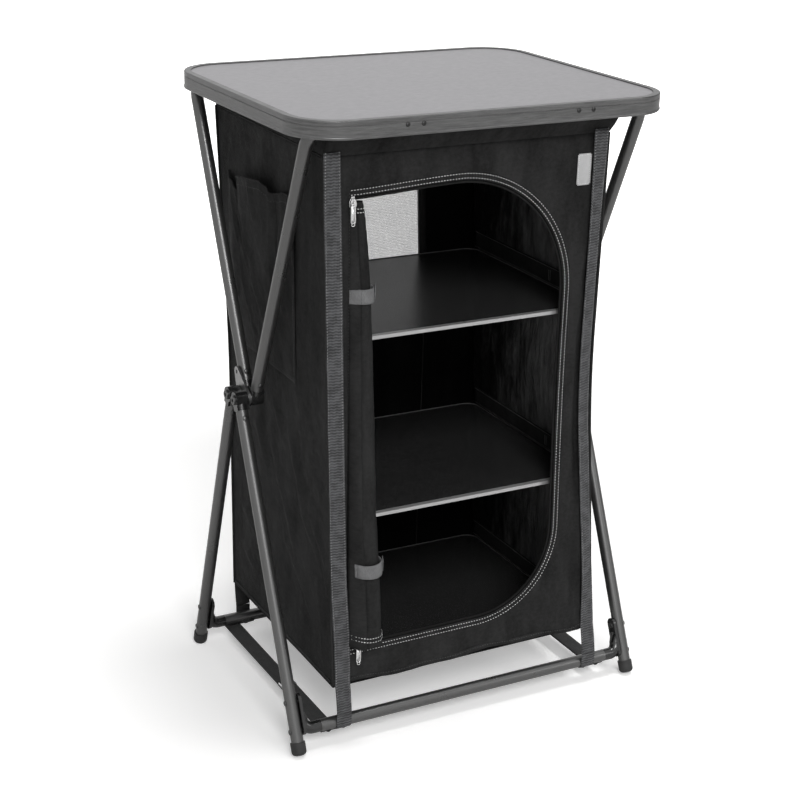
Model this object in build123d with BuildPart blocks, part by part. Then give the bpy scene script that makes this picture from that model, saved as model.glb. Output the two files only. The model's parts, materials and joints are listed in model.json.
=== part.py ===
"""Folding camping cupboard: a table on two crossed tube frames, with a fabric cupboard hung inside them.

Millimetres. X is the cupboard's right, Y its rear and Z up. The origin lies on the floor below the
middle of the table.
"""
import os
from math import cos, radians, sin
from build123d import *

os.makedirs("parts", exist_ok=True)

# Table
table_width = 600
table_depth = 500
table_height = 960
table_corner_radius = 75
edge_height = 26
underside = table_height - edge_height
edge_wall = 1.6
edge_lip = 11.4
edge_ledge = 14
edge_flange = 8
edge_bead_radius = 2
edge_face = 0.8
edge_groove_drop = 7
edge_groove_depth = 0.7
edge_groove_width = 1.2
panel_thickness = 4
panel_clearance = 0.15

# Tubes and the hub pins that they turn on
tube_diameter = 19
tube_wall = 1.2
upper_plane_x = 271
lower_plane_x = 296
hub_height = 499
hub_y = 5
pin_pitch = 27.6
upper_front_inset = 52.6
upper_rear_inset = 30.4
upper_bend_radius = 28
front_foot_y = -227
rear_foot_y = 179
crossbar_height = 36
crossbar_half_length = 256

# Hub
eye_diameter = 24
eye_plug_length = 26
eye_neck_length = 5
eye_neck_thickness = 15.2
eye_clearance = 0.1
pin_diameter = 8
pin_head_diameter = 15
pin_head_height = 3
pin_head_rounding = 1.2
pin_socket_depth = 2.4
pin_socket_across = 6
hub_plate_thickness = 3
hub_plate_margin = 11
hub_lug_offset = (11.2, 30)
hub_lug_radius = 8.5
hub_lug_hole = 6
washer_diameter = 17

# Elbows, feet and rivets
elbow_stub_length = 22
elbow_bend_radius = 16
elbow_tongue_thickness = 4.6
elbow_tongue_reach = 56
elbow_tongue_tail = 8
foot_diameter = 23
foot_height = 20
foot_rounding = 6
foot_wall_below_tube = 5
rivet_diameter = 5
rivet_head_diameter = 9
rivet_head_height = 1.9
leg_rivet_spacing = 44
eye_rivet_distance = 30

# Clips that hold the upper frames below the table
clip_x = 136.5
clip_width = 44
clip_wall = 2.6
clip_mouth = 15
clip_foot_height = 15
screw_spacing = 24.5
screw_drop = 11
screw_diameter = 3.5
screw_head_diameter = 7
screw_head_height = 1.8
screw_socket_radius = 1.4

# Cupboard: each corner is (x, y) where it hangs from the table, at the waist and at the hem
fabric = 1.6
fabric_gap = 0.2
collar_height = 29
collar_top = ((-248, -213), (221, -212), (224, 205), (-243, 205))
waist_height = hub_height + 21
hem_height = 100
front_left = ((-255, -210), (-248, -214), (-238, -218))
front_right = ((208, -206), (203, -201), (225, -216))
rear_right = ((212, 196), (210, 166), (228, 172))
rear_left = ((-245, 196), (-240, 164), (-234, 172))

# Door
door_left = -213
door_right = 144
door_top = underside - 78
door_bottom = 158
door_upper_radius = 184
door_lower_radius = 134
zip_under_hem = 9
zip_inside = 5
zip_thickness = 1.2
roll_top = (-202, -201, door_top - 18)
roll_bottom = (-184, -228, door_bottom + 10)
roll_top_radius = 10
roll_bottom_radius = 23
roll_strap_heights = (door_top - 144, door_bottom + 115)
roll_strap_width = 24
roll_strap_tab = 3

# Zip sliders
slider_length = 11
slider_width = 7.6
slider_thickness = 4.4
slider_waist = 1.2
bail_width = 3
bail_rise = 2
pull_length = 27
pull_width = 6
pull_thickness = 1.2
pull_eye_diameter = 3.4
pull_pin_diameter = 1.4
pull_rounding = 1.8
pull_hole_diameter = 2.4
stop_length = 3.6
stop_thickness = 2.6
stop_rounding = 0.7
upper_slider_x = -204
lower_slider_x = -194

# Shelves
shelf_tops = {"upper": underside - 298, "middle": underside - 575, "floor": hem_height + 4.6}
shelf_thickness = 3.6
shelf_front_y = -194
shelf_wall_clearance = 0.8
trim_height = 5.2
trim_depth = 9
trim_wall = 0.7
shelf_band_height = 30
shelf_band_lift = 3
band_thickness = 1.1

# Mesh window
window_center_x = -17
window_width = 244
window_height = 212
window_bottom = underside - 286
window_radius = 16
mesh_margin = 10
mesh_thickness = 0.7
mesh_columns = 15
mesh_rows = 13
mesh_strand = 4

# Webbing
webbing = 1.5
corner_strap_width = 25
strap_end_height = 52
strap_loop_x = 217
floor_strap_width = 22
floor_strap_x = 242
loop_clearance = 0.3
adjuster_y = -62
adjuster_length = 14
adjuster_wall = 1.6
adjuster_clearance = 0.3
adjuster_window_pitch = 6.4
adjuster_window = (20, 4.2)

# Side pocket and tag
pocket_front_y = -104
pocket_rear_y = 148
pocket_bottom = underside - 386
pocket_top = underside - 110
pocket_swell = 13
pocket_pleats = 5
pleat_depth = 4
pleat_shares = (0.2, 0.5, 0.8, 1)
tag_left = 155
tag_width = 24
tag_bottom = underside - 105
tag_height = 47
tag_thickness = 0.8

# Places that follow from the sizes above
upper_front_reach = table_depth / 2 - upper_front_inset
upper_rear_reach = table_depth / 2 - upper_rear_inset
tube_radius = tube_diameter / 2
tube_bore = tube_radius - tube_wall
front_pin_y = hub_y - pin_pitch / 2
rear_pin_y = hub_y + pin_pitch / 2
panel_top = table_height - edge_wall - panel_clearance
panel_bottom = panel_top - panel_thickness
bar_height = panel_bottom - clip_wall - tube_radius - 2 * eye_clearance
collar_bottom = underside - collar_height
hub_gap = lower_plane_x - upper_plane_x - tube_diameter
washer_thickness = (hub_gap - hub_plate_thickness) / 2
plate_inner_x = upper_plane_x + tube_radius + washer_thickness
pin_places = ((front_pin_y, hub_height), (rear_pin_y, hub_height))


def frame_plane(pin_y, end_y, end_height):
    """Plane of one frame: local x runs across, local y runs along the tube, away from the hub pin."""
    along = Vector(0, end_y - pin_y, end_height - hub_height).normalized()
    return Plane(origin=(0, pin_y, hub_height), x_dir=(1, 0, 0), z_dir=Vector(1, 0, 0).cross(along))


upper_front_plane = frame_plane(front_pin_y, -upper_front_reach, bar_height)
upper_rear_plane = frame_plane(rear_pin_y, upper_rear_reach, bar_height)
lower_front_plane = frame_plane(front_pin_y, front_foot_y, 0)
lower_rear_plane = frame_plane(rear_pin_y, rear_foot_y, 0)


def along_tube(plane, height):
    """Distance from the hub pin along a frame's tube to the place that lies at this height."""
    return (height - hub_height) / plane.y_dir.Z


def save(part, name):
    part.label = name
    export_step(part, f"parts/{name}.step")


def rounded_table(inset, height):
    """Outline of the table, drawn in by inset, as a wire at this height."""
    with BuildSketch(Plane.XY.offset(height)) as outline:
        RectangleRounded(table_width - 2 * inset, table_depth - 2 * inset, table_corner_radius - inset)
    return outline.sketch


# Table panel, which sits in the groove of its edge
with BuildPart() as table_panel:
    add(rounded_table(edge_wall + edge_face + panel_clearance, panel_bottom))
    extrude(amount=panel_thickness)
save(table_panel.part, "table_panel")

# Edge profile: lip over the panel, ledge under it, groove line and bead outside, flange below
groove_height = edge_height - edge_groove_drop
slot_top = edge_height - edge_wall
slot_bottom = slot_top - panel_thickness - 2 * panel_clearance
ledge_bottom = slot_bottom - edge_wall
inner_face = edge_face + edge_wall
edge_start = Plane(origin=(0, -table_depth / 2, underside), x_dir=(0, 1, 0), z_dir=(1, 0, 0))
with BuildPart() as table_edge:
    with BuildSketch(edge_start):
        with BuildLine():
            Polyline(
                (edge_face, 2 * edge_bead_radius),
                (edge_face, groove_height - edge_groove_width),
                (edge_face + edge_groove_depth, groove_height - edge_groove_width),
                (edge_face + edge_groove_depth, groove_height),
                (edge_face, groove_height),
                (edge_face, edge_height - edge_wall),
            )
            ThreePointArc(
                (edge_face, edge_height - edge_wall),
                (edge_face + 0.3 * edge_wall, edge_height - 0.3 * edge_wall),
                (edge_face + edge_wall, edge_height),
            )
            Polyline(
                (edge_face + edge_wall, edge_height),
                (edge_lip, edge_height),
                (edge_lip, slot_top),
                (inner_face, slot_top),
                (inner_face, slot_bottom),
                (edge_ledge, slot_bottom),
                (edge_ledge, ledge_bottom),
                (inner_face, ledge_bottom),
                (inner_face, edge_wall),
                (edge_flange, edge_wall),
                (edge_flange, 0),
                (edge_face, 0),
            )
            ThreePointArc((edge_face, 0), (0, edge_bead_radius), (edge_face, 2 * edge_bead_radius))
        make_face()
    sweep(path=rounded_table(0, underside).wires()[0])
    screw_places = [
        (x + side * screw_spacing / 2, table_height - screw_drop)
        for x in (-clip_x, clip_x)
        for side in (-1, 1)
    ]
    with BuildSketch(Plane.XZ):
        with Locations(*screw_places):
            Circle(screw_diameter / 2)
    extrude(amount=table_depth / 2 + 1, both=True, mode=Mode.SUBTRACT)
save(table_edge.part, "table_edge")


def bar_clips(side, bar_reach):
    """Two snap clips, screwed inside the edge, that hold one upper frame's bar under the panel."""
    wall_y = table_depth / 2 - inner_face - panel_clearance
    ledge_y = table_depth / 2 - edge_ledge - panel_clearance
    top = panel_bottom - 2 * panel_clearance
    below_ledge = underside + ledge_bottom - panel_clearance
    with BuildPart() as clips:
        with BuildSketch(Plane.YZ):
            with Locations((bar_reach, bar_height)):
                Circle(tube_radius + eye_clearance + clip_wall)
            with BuildLine():
                Polyline(
                    (bar_reach, top),
                    (ledge_y, top),
                    (ledge_y, below_ledge),
                    (wall_y, below_ledge),
                    (wall_y, top - clip_foot_height),
                    (wall_y - clip_wall, top - clip_foot_height),
                    (bar_reach + tube_radius, top - clip_foot_height / 2),
                    (bar_reach, top - clip_wall),
                    close=True,
                )
            make_face()
            with Locations((bar_reach, bar_height)):
                Circle(tube_radius + eye_clearance, mode=Mode.SUBTRACT)
            with Locations((bar_reach, bar_height - tube_diameter)):
                Rectangle(clip_mouth, 2 * tube_diameter, mode=Mode.SUBTRACT)
        extrude(amount=clip_width / 2, both=True)
        with BuildSketch(Plane.XZ.offset(-wall_y)):
            with Locations((-screw_spacing / 2, table_height - screw_drop)):
                Circle(screw_diameter / 2)
            with Locations((screw_spacing / 2, table_height - screw_drop)):
                Circle(screw_diameter / 2)
        extrude(amount=2 * clip_wall, mode=Mode.SUBTRACT)
    with BuildPart() as pair:
        with Locations((-clip_x, 0, 0), (clip_x, 0, 0)):
            add(clips.part)
        if side < 0:
            mirror(about=Plane.XZ, mode=Mode.REPLACE)
    return pair.part


with BuildPart() as all_clips:
    add(bar_clips(-1, upper_front_reach))
    add(bar_clips(1, upper_rear_reach))
save(all_clips.part, "bar_clips")


def fastener(grip, shank_radius, head_radius, head_height, heads):
    """Domed rivet or screw along local x; the grip starts at x = 0, and the heads stand outside it."""
    start = grip / 2 if heads == 2 else 0
    with BuildPart() as piece:
        with BuildSketch():
            with Locations((grip, 0)):
                Ellipse(head_height, head_radius)
            with Locations((grip / 2, 0)):
                Rectangle(grip, 2 * head_radius, mode=Mode.SUBTRACT)
            with Locations(((start + grip) / 2, 0)):
                Rectangle(grip - start, 2 * shank_radius)
            with Locations((grip / 2, -head_radius)):
                Rectangle(grip + 4 * head_radius, 2 * head_radius, mode=Mode.SUBTRACT)
        revolve(axis=Axis.X)
        if heads == 2:
            mirror(about=Plane.YZ.offset(grip / 2))
    return piece.part


def edge_screws(side):
    """Four domed socket screws that go through the edge into one pair of bar clips."""
    grip = edge_wall + clip_wall
    shank = (screw_diameter - eye_clearance) / 2
    with BuildPart() as screw:
        add(fastener(grip, shank, screw_head_diameter / 2, screw_head_height, 1))
        with BuildSketch(Plane.YZ.offset(grip + screw_head_height)):
            RegularPolygon(screw_socket_radius, 6)
        extrude(amount=-screw_head_height / 2, mode=Mode.SUBTRACT)
    inner_y = side * (table_depth / 2 - edge_face - grip)
    with BuildPart() as row:
        for x, height in screw_places:
            place = Plane(origin=(x, inner_y, height), x_dir=(0, side, 0), z_dir=(0, 0, 1))
            with Locations(Location(place)):
                add(screw.part)
    return row.part


with BuildPart() as all_screws:
    add(edge_screws(-1))
    add(edge_screws(1))
save(all_screws.part, "edge_screws")


def cross_rivet(grip, heads=2):
    """Rivet with a head at the far end of its grip, or at both."""
    return fastener(grip, (rivet_diameter - eye_clearance) / 2, rivet_head_diameter / 2,
                    rivet_head_height, heads)


def rivet_place(plane, x, distance):
    """Location on a frame plane whose local x is the frame plane's normal."""
    origin = plane.origin + plane.x_dir * x + plane.y_dir * distance
    return Location(Plane(origin=origin, x_dir=plane.z_dir, z_dir=plane.x_dir))


def tube_rivets(plane, frame_x):
    """Rivets that hold the two eyes of one frame in their tubes."""
    with BuildPart() as rivets:
        for x in (-frame_x, frame_x):
            place = rivet_place(plane, x, eye_rivet_distance) * Location((-tube_radius, 0, 0))
            with Locations(place):
                add(cross_rivet(tube_diameter))
    return rivets.part


def eyes(plane, frame_x):
    """Two moulded eyes with a neck and a plug that goes into the tube."""
    neck = eye_diameter / 2 + eye_neck_length
    with BuildPart() as pair:
        with BuildSketch(plane):
            with Locations((frame_x, neck / 2), (-frame_x, neck / 2)):
                Rectangle(tube_diameter, neck)
        extrude(amount=eye_neck_thickness / 2, both=True)
        neck_plane = Plane(origin=plane.origin, x_dir=plane.x_dir, z_dir=plane.y_dir)
        with BuildSketch(neck_plane):
            with Locations((frame_x, 0), (-frame_x, 0)):
                Circle(tube_radius)
        extrude(amount=neck)
        with BuildSketch(neck_plane.offset(neck)):
            with Locations((frame_x, 0), (-frame_x, 0)):
                Circle(tube_bore - eye_clearance / 2)
        extrude(amount=eye_plug_length)
        for x in (-frame_x, frame_x):
            with BuildSketch(Plane.YZ.offset(x)):
                with Locations((plane.origin.Y, hub_height)):
                    Circle(eye_diameter / 2)
            extrude(amount=tube_radius, both=True)
        with BuildSketch(Plane.YZ):
            with Locations((plane.origin.Y, hub_height)):
                Circle(pin_diameter / 2 + eye_clearance)
        extrude(amount=lower_plane_x + tube_diameter, both=True, mode=Mode.SUBTRACT)
        with BuildSketch(plane):
            with Locations((frame_x, eye_rivet_distance), (-frame_x, eye_rivet_distance)):
                Circle(rivet_diameter / 2)
        extrude(amount=tube_diameter, both=True, mode=Mode.SUBTRACT)
    return pair.part


def upper_frame(plane, bar_distance):
    """One bent tube: up from the left hub, across under the table and down to the right hub."""
    start = eye_diameter / 2 + eye_neck_length
    with BuildPart() as frame:
        with BuildLine(plane) as route:
            FilletPolyline(
                (-upper_plane_x, start),
                (-upper_plane_x, bar_distance),
                (upper_plane_x, bar_distance),
                (upper_plane_x, start),
                radius=upper_bend_radius,
            )
        with BuildSketch(Plane(origin=route.line @ 0, x_dir=(1, 0, 0), z_dir=route.line % 0)):
            Circle(tube_radius)
            Circle(tube_bore, mode=Mode.SUBTRACT)
        sweep(path=route.line)
        with BuildSketch(plane):
            with Locations((upper_plane_x, eye_rivet_distance), (-upper_plane_x, eye_rivet_distance)):
                Circle(rivet_diameter / 2)
        extrude(amount=tube_diameter, both=True, mode=Mode.SUBTRACT)
    return frame.part


for name, plane in (("front", upper_front_plane), ("rear", upper_rear_plane)):
    save(upper_frame(plane, along_tube(plane, bar_height)), f"upper_{name}_frame")
with BuildPart() as upper_eyes:
    add(eyes(upper_front_plane, upper_plane_x))
    add(eyes(upper_rear_plane, upper_plane_x))
save(upper_eyes.part, "upper_eyes")
with BuildPart() as upper_rivets:
    add(tube_rivets(upper_front_plane, upper_plane_x))
    add(tube_rivets(upper_rear_plane, upper_plane_x))
save(upper_rivets.part, "upper_rivets")

# Hub plates: a link round both pins, with a lug behind and above the rear one
lug_y = rear_pin_y + hub_lug_offset[0]
lug_height = hub_height + hub_lug_offset[1]
with BuildPart() as hub_plates:
    with BuildSketch(Plane.YZ.offset(plate_inner_x)):
        with Locations(*pin_places):
            Circle(hub_plate_margin)
        with Locations((lug_y, lug_height)):
            Circle(hub_lug_radius)
        make_hull()
        with Locations(*pin_places):
            Circle(pin_diameter / 2 + eye_clearance / 2, mode=Mode.SUBTRACT)
        with Locations((lug_y, lug_height)):
            Circle(hub_lug_hole / 2, mode=Mode.SUBTRACT)
    extrude(amount=hub_plate_thickness)
    mirror(about=Plane.YZ)
save(hub_plates.part, "hub_plates")

# Washers on both sides of each hub plate, one at every pin
with BuildPart() as hub_washers:
    for face_x in (plate_inner_x - washer_thickness, plate_inner_x + hub_plate_thickness):
        with BuildSketch(Plane.YZ.offset(face_x)):
            with Locations(*pin_places):
                Circle(washer_diameter / 2)
                Circle(pin_diameter / 2 + eye_clearance / 2, mode=Mode.SUBTRACT)
        outer = face_x > plate_inner_x
        extrude(amount=washer_thickness - (eye_clearance if outer else 0))
    mirror(about=Plane.YZ)
save(hub_washers.part, "hub_washers")

# Hub pins: headed at both ends, with a hex socket in the outer head
inner_head_x = upper_plane_x - tube_radius - 2 * eye_clearance
outer_head_x = lower_plane_x + tube_radius + 2 * eye_clearance
with BuildPart() as hub_pins:
    with BuildSketch(Plane.YZ.offset(inner_head_x)):
        with Locations(*pin_places):
            Circle(pin_diameter / 2)
    extrude(amount=outer_head_x - inner_head_x)
    for head_x, out in ((inner_head_x, -1), (outer_head_x, 1)):
        with BuildSketch(Plane.YZ.offset(head_x)):
            with Locations(*pin_places):
                Circle(pin_head_diameter / 2)
        extrude(amount=out * pin_head_height)
    rims = edges().filter_by(GeomType.CIRCLE).group_by(Axis.X)
    fillet(rims[0] + rims[-1], pin_head_rounding)
    with BuildSketch(Plane.YZ.offset(outer_head_x + pin_head_height)):
        with Locations(*pin_places):
            RegularPolygon(pin_socket_across / 2, 6, major_radius=False)
    extrude(amount=-pin_socket_depth, mode=Mode.SUBTRACT)
    mirror(about=Plane.YZ)
save(hub_pins.part, "hub_pins")


def legs(plane, foot_distance):
    """Both leg tubes of a lower frame, with the holes for their eye rivets and elbow rivets."""
    axis_plane = Plane(
        origin=plane.origin + plane.x_dir * lower_plane_x, x_dir=plane.x_dir, z_dir=plane.y_dir
    )
    start = eye_diameter / 2 + eye_neck_length
    bar_distance = along_tube(plane, crossbar_height)
    with BuildPart() as tube:
        with BuildSketch(axis_plane.offset(start)):
            Circle(tube_radius)
            Circle(tube_bore, mode=Mode.SUBTRACT)
        extrude(amount=foot_distance - start)
        with BuildSketch(plane):
            with Locations((lower_plane_x, eye_rivet_distance)):
                Circle(rivet_diameter / 2)
        extrude(amount=tube_diameter, both=True, mode=Mode.SUBTRACT)
        for distance in (bar_distance, bar_distance - leg_rivet_spacing):
            cross = Plane(
                origin=plane.origin + plane.y_dir * distance, x_dir=plane.z_dir, z_dir=plane.x_dir
            )
            with BuildSketch(cross.offset(lower_plane_x)):
                Circle(rivet_diameter / 2)
            extrude(amount=tube_diameter, both=True, mode=Mode.SUBTRACT)
        mirror(about=Plane.YZ)
    return tube.part


def crossbar(plane):
    """Straight tube between the two elbows of a lower frame."""
    bar = plane.origin + plane.y_dir * along_tube(plane, crossbar_height)
    with BuildPart() as tube:
        with BuildSketch(Plane.YZ.offset(-crossbar_half_length)):
            with Locations((bar.Y, bar.Z)):
                Circle(tube_radius)
                Circle(tube_bore, mode=Mode.SUBTRACT)
        extrude(amount=2 * crossbar_half_length)
    return tube.part


def elbow(plane):
    """Right-hand elbow: plug in the crossbar, bend, and a flat tongue riveted to the leg."""
    bar_distance = along_tube(plane, crossbar_height)
    leg_face = lower_plane_x - tube_radius - eye_clearance
    tongue_middle = leg_face - elbow_tongue_thickness / 2
    bend_end = bar_distance - elbow_bend_radius
    plug_start = crossbar_half_length - elbow_stub_length
    bar_plane = Plane(
        origin=plane.origin + plane.y_dir * bar_distance, x_dir=plane.z_dir, z_dir=plane.x_dir
    )
    with BuildPart() as piece:
        with BuildSketch(bar_plane.offset(plug_start)):
            Circle(tube_bore - eye_clearance / 2)
        extrude(amount=elbow_stub_length)
        with BuildLine(plane) as route:
            start = (crossbar_half_length, bar_distance)
            corner = (tongue_middle, bar_distance)
            FilletPolyline(start, corner, (tongue_middle, bend_end - 1), radius=elbow_bend_radius)
        with BuildSketch(bar_plane.offset(crossbar_half_length)):
            Circle(tube_radius)
        sweep(path=route.line)
        up_leg = -plane.y_dir
        taper_start = Plane(
            origin=plane.origin + plane.y_dir * (bend_end - 1) + plane.x_dir * tongue_middle,
            x_dir=plane.x_dir, z_dir=up_leg,
        )
        with BuildSketch(taper_start):
            Circle(tube_radius)
        with BuildSketch(taper_start.offset(elbow_bend_radius)):
            Ellipse(elbow_tongue_thickness / 2, tube_radius)
        loft()
        with BuildSketch(Plane(origin=plane.origin + plane.x_dir * leg_face, x_dir=plane.y_dir,
                               z_dir=-plane.x_dir)):
            middle = bar_distance + (elbow_tongue_tail - elbow_tongue_reach) / 2
            with Locations((middle, 0)):
                SlotOverall(elbow_tongue_tail + elbow_tongue_reach, tube_diameter)
        extrude(amount=elbow_tongue_thickness)
        with BuildSketch(Plane.YZ.offset(leg_face)):
            with Locations((bar_plane.origin.Y, bar_plane.origin.Z)):
                Circle(elbow_tongue_reach * 2)
        extrude(amount=tube_diameter, mode=Mode.SUBTRACT)
        for distance in (bar_distance, bar_distance - leg_rivet_spacing):
            cross = Plane(
                origin=plane.origin + plane.y_dir * distance, x_dir=plane.z_dir, z_dir=plane.x_dir
            )
            with BuildSketch(cross.offset(leg_face - elbow_tongue_thickness)):
                Circle(rivet_diameter / 2)
            extrude(amount=elbow_tongue_thickness, mode=Mode.SUBTRACT)
    return piece.part


def foot_end(plane):
    """Distance from the hub pin to a foot's end, so that its rounded rim just meets the floor."""
    rim = foot_diameter / 2 - foot_rounding
    drop = hub_height - rim * abs(plane.y_dir.Y) - foot_rounding
    return foot_rounding - drop / plane.y_dir.Z


def feet(plane):
    """Two rubber caps over the ends of a lower frame's legs."""
    end = foot_end(plane)
    top = end - foot_height
    radius = foot_diameter / 2
    with BuildPart() as pair:
        with BuildSketch(plane):
            with BuildLine():
                Polyline(
                    (lower_plane_x, end),
                    (lower_plane_x, end - foot_wall_below_tube),
                    (lower_plane_x + tube_radius + eye_clearance / 2, end - foot_wall_below_tube),
                    (lower_plane_x + tube_radius + eye_clearance / 2, top),
                    (lower_plane_x + radius, top),
                    (lower_plane_x + radius, end - foot_rounding),
                )
                ThreePointArc(
                    (lower_plane_x + radius, end - foot_rounding),
                    (
                        lower_plane_x + radius - foot_rounding * (1 - cos(radians(45))),
                        end - foot_rounding * (1 - sin(radians(45))),
                    ),
                    (lower_plane_x + radius - foot_rounding, end),
                )
                Line((lower_plane_x + radius - foot_rounding, end), (lower_plane_x, end))
            make_face()
        revolve(axis=Axis(plane.origin + plane.x_dir * lower_plane_x, plane.y_dir))
        mirror(about=Plane.YZ)
    return pair.part


def leg_rivets(plane):
    """Two rivets through each leg: the upper one headed on both sides, the lower one inside the elbow."""
    inner_x = lower_plane_x - tube_radius - eye_clearance - elbow_tongue_thickness
    grip = elbow_tongue_thickness + eye_clearance + tube_diameter
    bar_distance = along_tube(plane, crossbar_height)
    with BuildPart() as rivets:
        for distance, heads in ((bar_distance, 1), (bar_distance - leg_rivet_spacing, 2)):
            origin = plane.origin + plane.x_dir * inner_x + plane.y_dir * distance
            with Locations(Location(Plane(origin=origin, x_dir=plane.x_dir, z_dir=plane.z_dir))):
                add(cross_rivet(grip, heads))
        mirror(about=Plane.YZ)
    return rivets.part


def bar_place(plane):
    """Middle of a lower frame's crossbar, as (y, height)."""
    middle = plane.origin + plane.y_dir * along_tube(plane, crossbar_height)
    return (middle.Y, middle.Z)


def strap_loops(plane, out):
    """Two webbing loops round a crossbar, each with a tail up to the end of a corner strap."""
    bar_y, bar_z = bar_place(plane)
    inner = tube_radius + loop_clearance
    with BuildPart() as loops:
        with BuildSketch(Plane.YZ.offset(strap_loop_x)):
            with Locations((bar_y, bar_z)):
                Circle(inner + webbing)
            with Locations((bar_y + out * (inner + webbing / 2), (bar_z + strap_end_height) / 2)):
                Rectangle(webbing, strap_end_height - bar_z)
            with Locations((bar_y, bar_z)):
                Circle(inner, mode=Mode.SUBTRACT)
        extrude(amount=corner_strap_width / 2, both=True)
        with BuildSketch(Plane.XY.offset(bar_z - inner - 2 * webbing)):
            with Locations((strap_loop_x, bar_y)):
                Circle(rivet_diameter / 2)
        extrude(amount=3 * webbing, mode=Mode.SUBTRACT)
        mirror(about=Plane.YZ)
    return loops.part


def floor_straps(plane, end_y, layers):
    """Two floor straps that run from a loop round the crossbar to end_y, along its underside."""
    bar_y, bar_z = bar_place(plane)
    inner = tube_radius + loop_clearance
    with BuildPart() as straps:
        with BuildSketch(Plane.YZ.offset(floor_strap_x)):
            with Locations((bar_y, bar_z)):
                Circle(inner + webbing)
            middle_z = bar_z - inner - webbing + layers * webbing / 2
            with Locations(((bar_y + end_y) / 2, middle_z)):
                Rectangle(abs(end_y - bar_y), layers * webbing)
            with Locations((bar_y, bar_z)):
                Circle(inner, mode=Mode.SUBTRACT)
        extrude(amount=floor_strap_width / 2, both=True)
        with BuildSketch(Plane.XY.offset(bar_z - inner - 2 * webbing)):
            with Locations((floor_strap_x, bar_y)):
                Circle(rivet_diameter / 2)
        extrude(amount=3 * webbing, mode=Mode.SUBTRACT)
        mirror(about=Plane.YZ)
    return straps.part


def strap_rivets(plane):
    """Rivets under a crossbar that fix the webbing loops to it."""
    bar_y, bar_z = bar_place(plane)
    grip = tube_wall + loop_clearance + webbing
    with BuildPart() as rivets:
        for x in (strap_loop_x, floor_strap_x):
            origin = (x, bar_y, bar_z - tube_bore)
            with Locations(Location(Plane(origin=origin, x_dir=(0, 0, -1), z_dir=(1, 0, 0)))):
                add(cross_rivet(grip, heads=1))
        mirror(about=Plane.YZ)
    return rivets.part


def drilled_crossbar(plane):
    """Crossbar with the holes for its strap rivets."""
    bar_y, bar_z = bar_place(plane)
    places = [(side * x, bar_y) for x in (strap_loop_x, floor_strap_x) for side in (-1, 1)]
    with BuildPart() as tube:
        add(crossbar(plane))
        with BuildSketch(Plane.XY.offset(bar_z - tube_diameter)):
            with Locations(*places):
                Circle(rivet_diameter / 2)
        extrude(amount=tube_diameter, mode=Mode.SUBTRACT)
    return tube.part


def drilled_elbows(plane):
    """Both elbows of a lower frame, with their plugs drilled above the floor strap rivets."""
    bar_y, bar_z = bar_place(plane)
    with BuildPart() as pair:
        add(elbow(plane))
        with BuildSketch(Plane.XY.offset(bar_z - tube_diameter)):
            with Locations((floor_strap_x, bar_y)):
                Circle(rivet_diameter / 2)
        extrude(amount=tube_diameter - tube_bore + 2 * eye_clearance, mode=Mode.SUBTRACT)
        mirror(about=Plane.YZ)
    return pair.part


strap_split_y = adjuster_y + adjuster_length / 2 + adjuster_clearance
lower_frames = (
    ("front", lower_front_plane, -1, strap_split_y, 2),
    ("rear", lower_rear_plane, 1, strap_split_y + 2 * loop_clearance, 1),
)
for name, plane, out, strap_end_y, layers in lower_frames:
    save(legs(plane, foot_end(plane) - foot_wall_below_tube - eye_clearance), f"{name}_legs")
    save(eyes(plane, lower_plane_x), f"lower_{name}_eyes")
    save(drilled_crossbar(plane), f"{name}_crossbar")
    save(drilled_elbows(plane), f"{name}_elbows")
    with BuildPart() as rivets:
        add(tube_rivets(plane, lower_plane_x))
        add(leg_rivets(plane))
        add(strap_rivets(plane))
    save(rivets.part, f"{name}_leg_rivets")
    save(feet(plane), f"{name}_feet")
    save(strap_loops(plane, out), f"{name}_strap_loops")
    save(floor_straps(plane, strap_end_y, layers), f"{name}_floor_straps")

# Adjusters: closed metal frames that slide along the doubled part of the floor straps
front_bar_y, front_bar_z = bar_place(lower_front_plane)
strap_middle_z = front_bar_z - tube_radius - loop_clearance
slot_width = floor_strap_width + 2 * adjuster_clearance
slot_height = 2 * webbing + 2 * adjuster_clearance
for side, side_name in ((-1, "left"), (1, "right")):
    with BuildPart() as adjuster:
        with BuildSketch(Plane.XZ.offset(-adjuster_y - adjuster_length / 2)):
            with Locations((side * floor_strap_x, strap_middle_z)):
                RectangleRounded(
                    slot_width + 2 * adjuster_wall, slot_height + 2 * adjuster_wall, adjuster_wall
                )
                Rectangle(slot_width, slot_height, mode=Mode.SUBTRACT)
        extrude(amount=adjuster_length)
        with BuildSketch(Plane.XY.offset(strap_middle_z)):
            with Locations((side * floor_strap_x, adjuster_y)):
                with GridLocations(0, adjuster_window_pitch, 1, 2):
                    RectangleRounded(*adjuster_window, 1)
        extrude(amount=slot_height + adjuster_wall, mode=Mode.SUBTRACT)
    save(adjuster.part, f"{side_name}_strap_adjuster")


def corner_at(corner, height):
    """Place of a cupboard corner at this height, straight between the heights where it is given."""
    top, waist, hem = (Vector(*place) for place in corner)
    if height > waist_height:
        share = (height - waist_height) / (collar_bottom - waist_height)
        return waist + (top - waist) * share
    share = (height - hem_height) / (waist_height - hem_height)
    return hem + (waist - hem) * share


def wall_strip(first, second, height, near, far, start=0, width=None, end=0):
    """Four points of a wall's section at this height.

    The wall runs from the first corner to the second, with the cupboard on its left. near and far
    are depths behind the wall's outer face, and start, end or width say which stretch is meant.
    """
    a = corner_at(first, height)
    b = corner_at(second, height)
    along = (b - a).normalized()
    inward = Vector(-along.Y, along.X)
    length = (b - a).length - end if width is None else start + width
    return [
        a + along * start + inward * near,
        a + along * length + inward * near,
        a + along * length + inward * far,
        a + along * start + inward * far,
    ]


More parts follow.
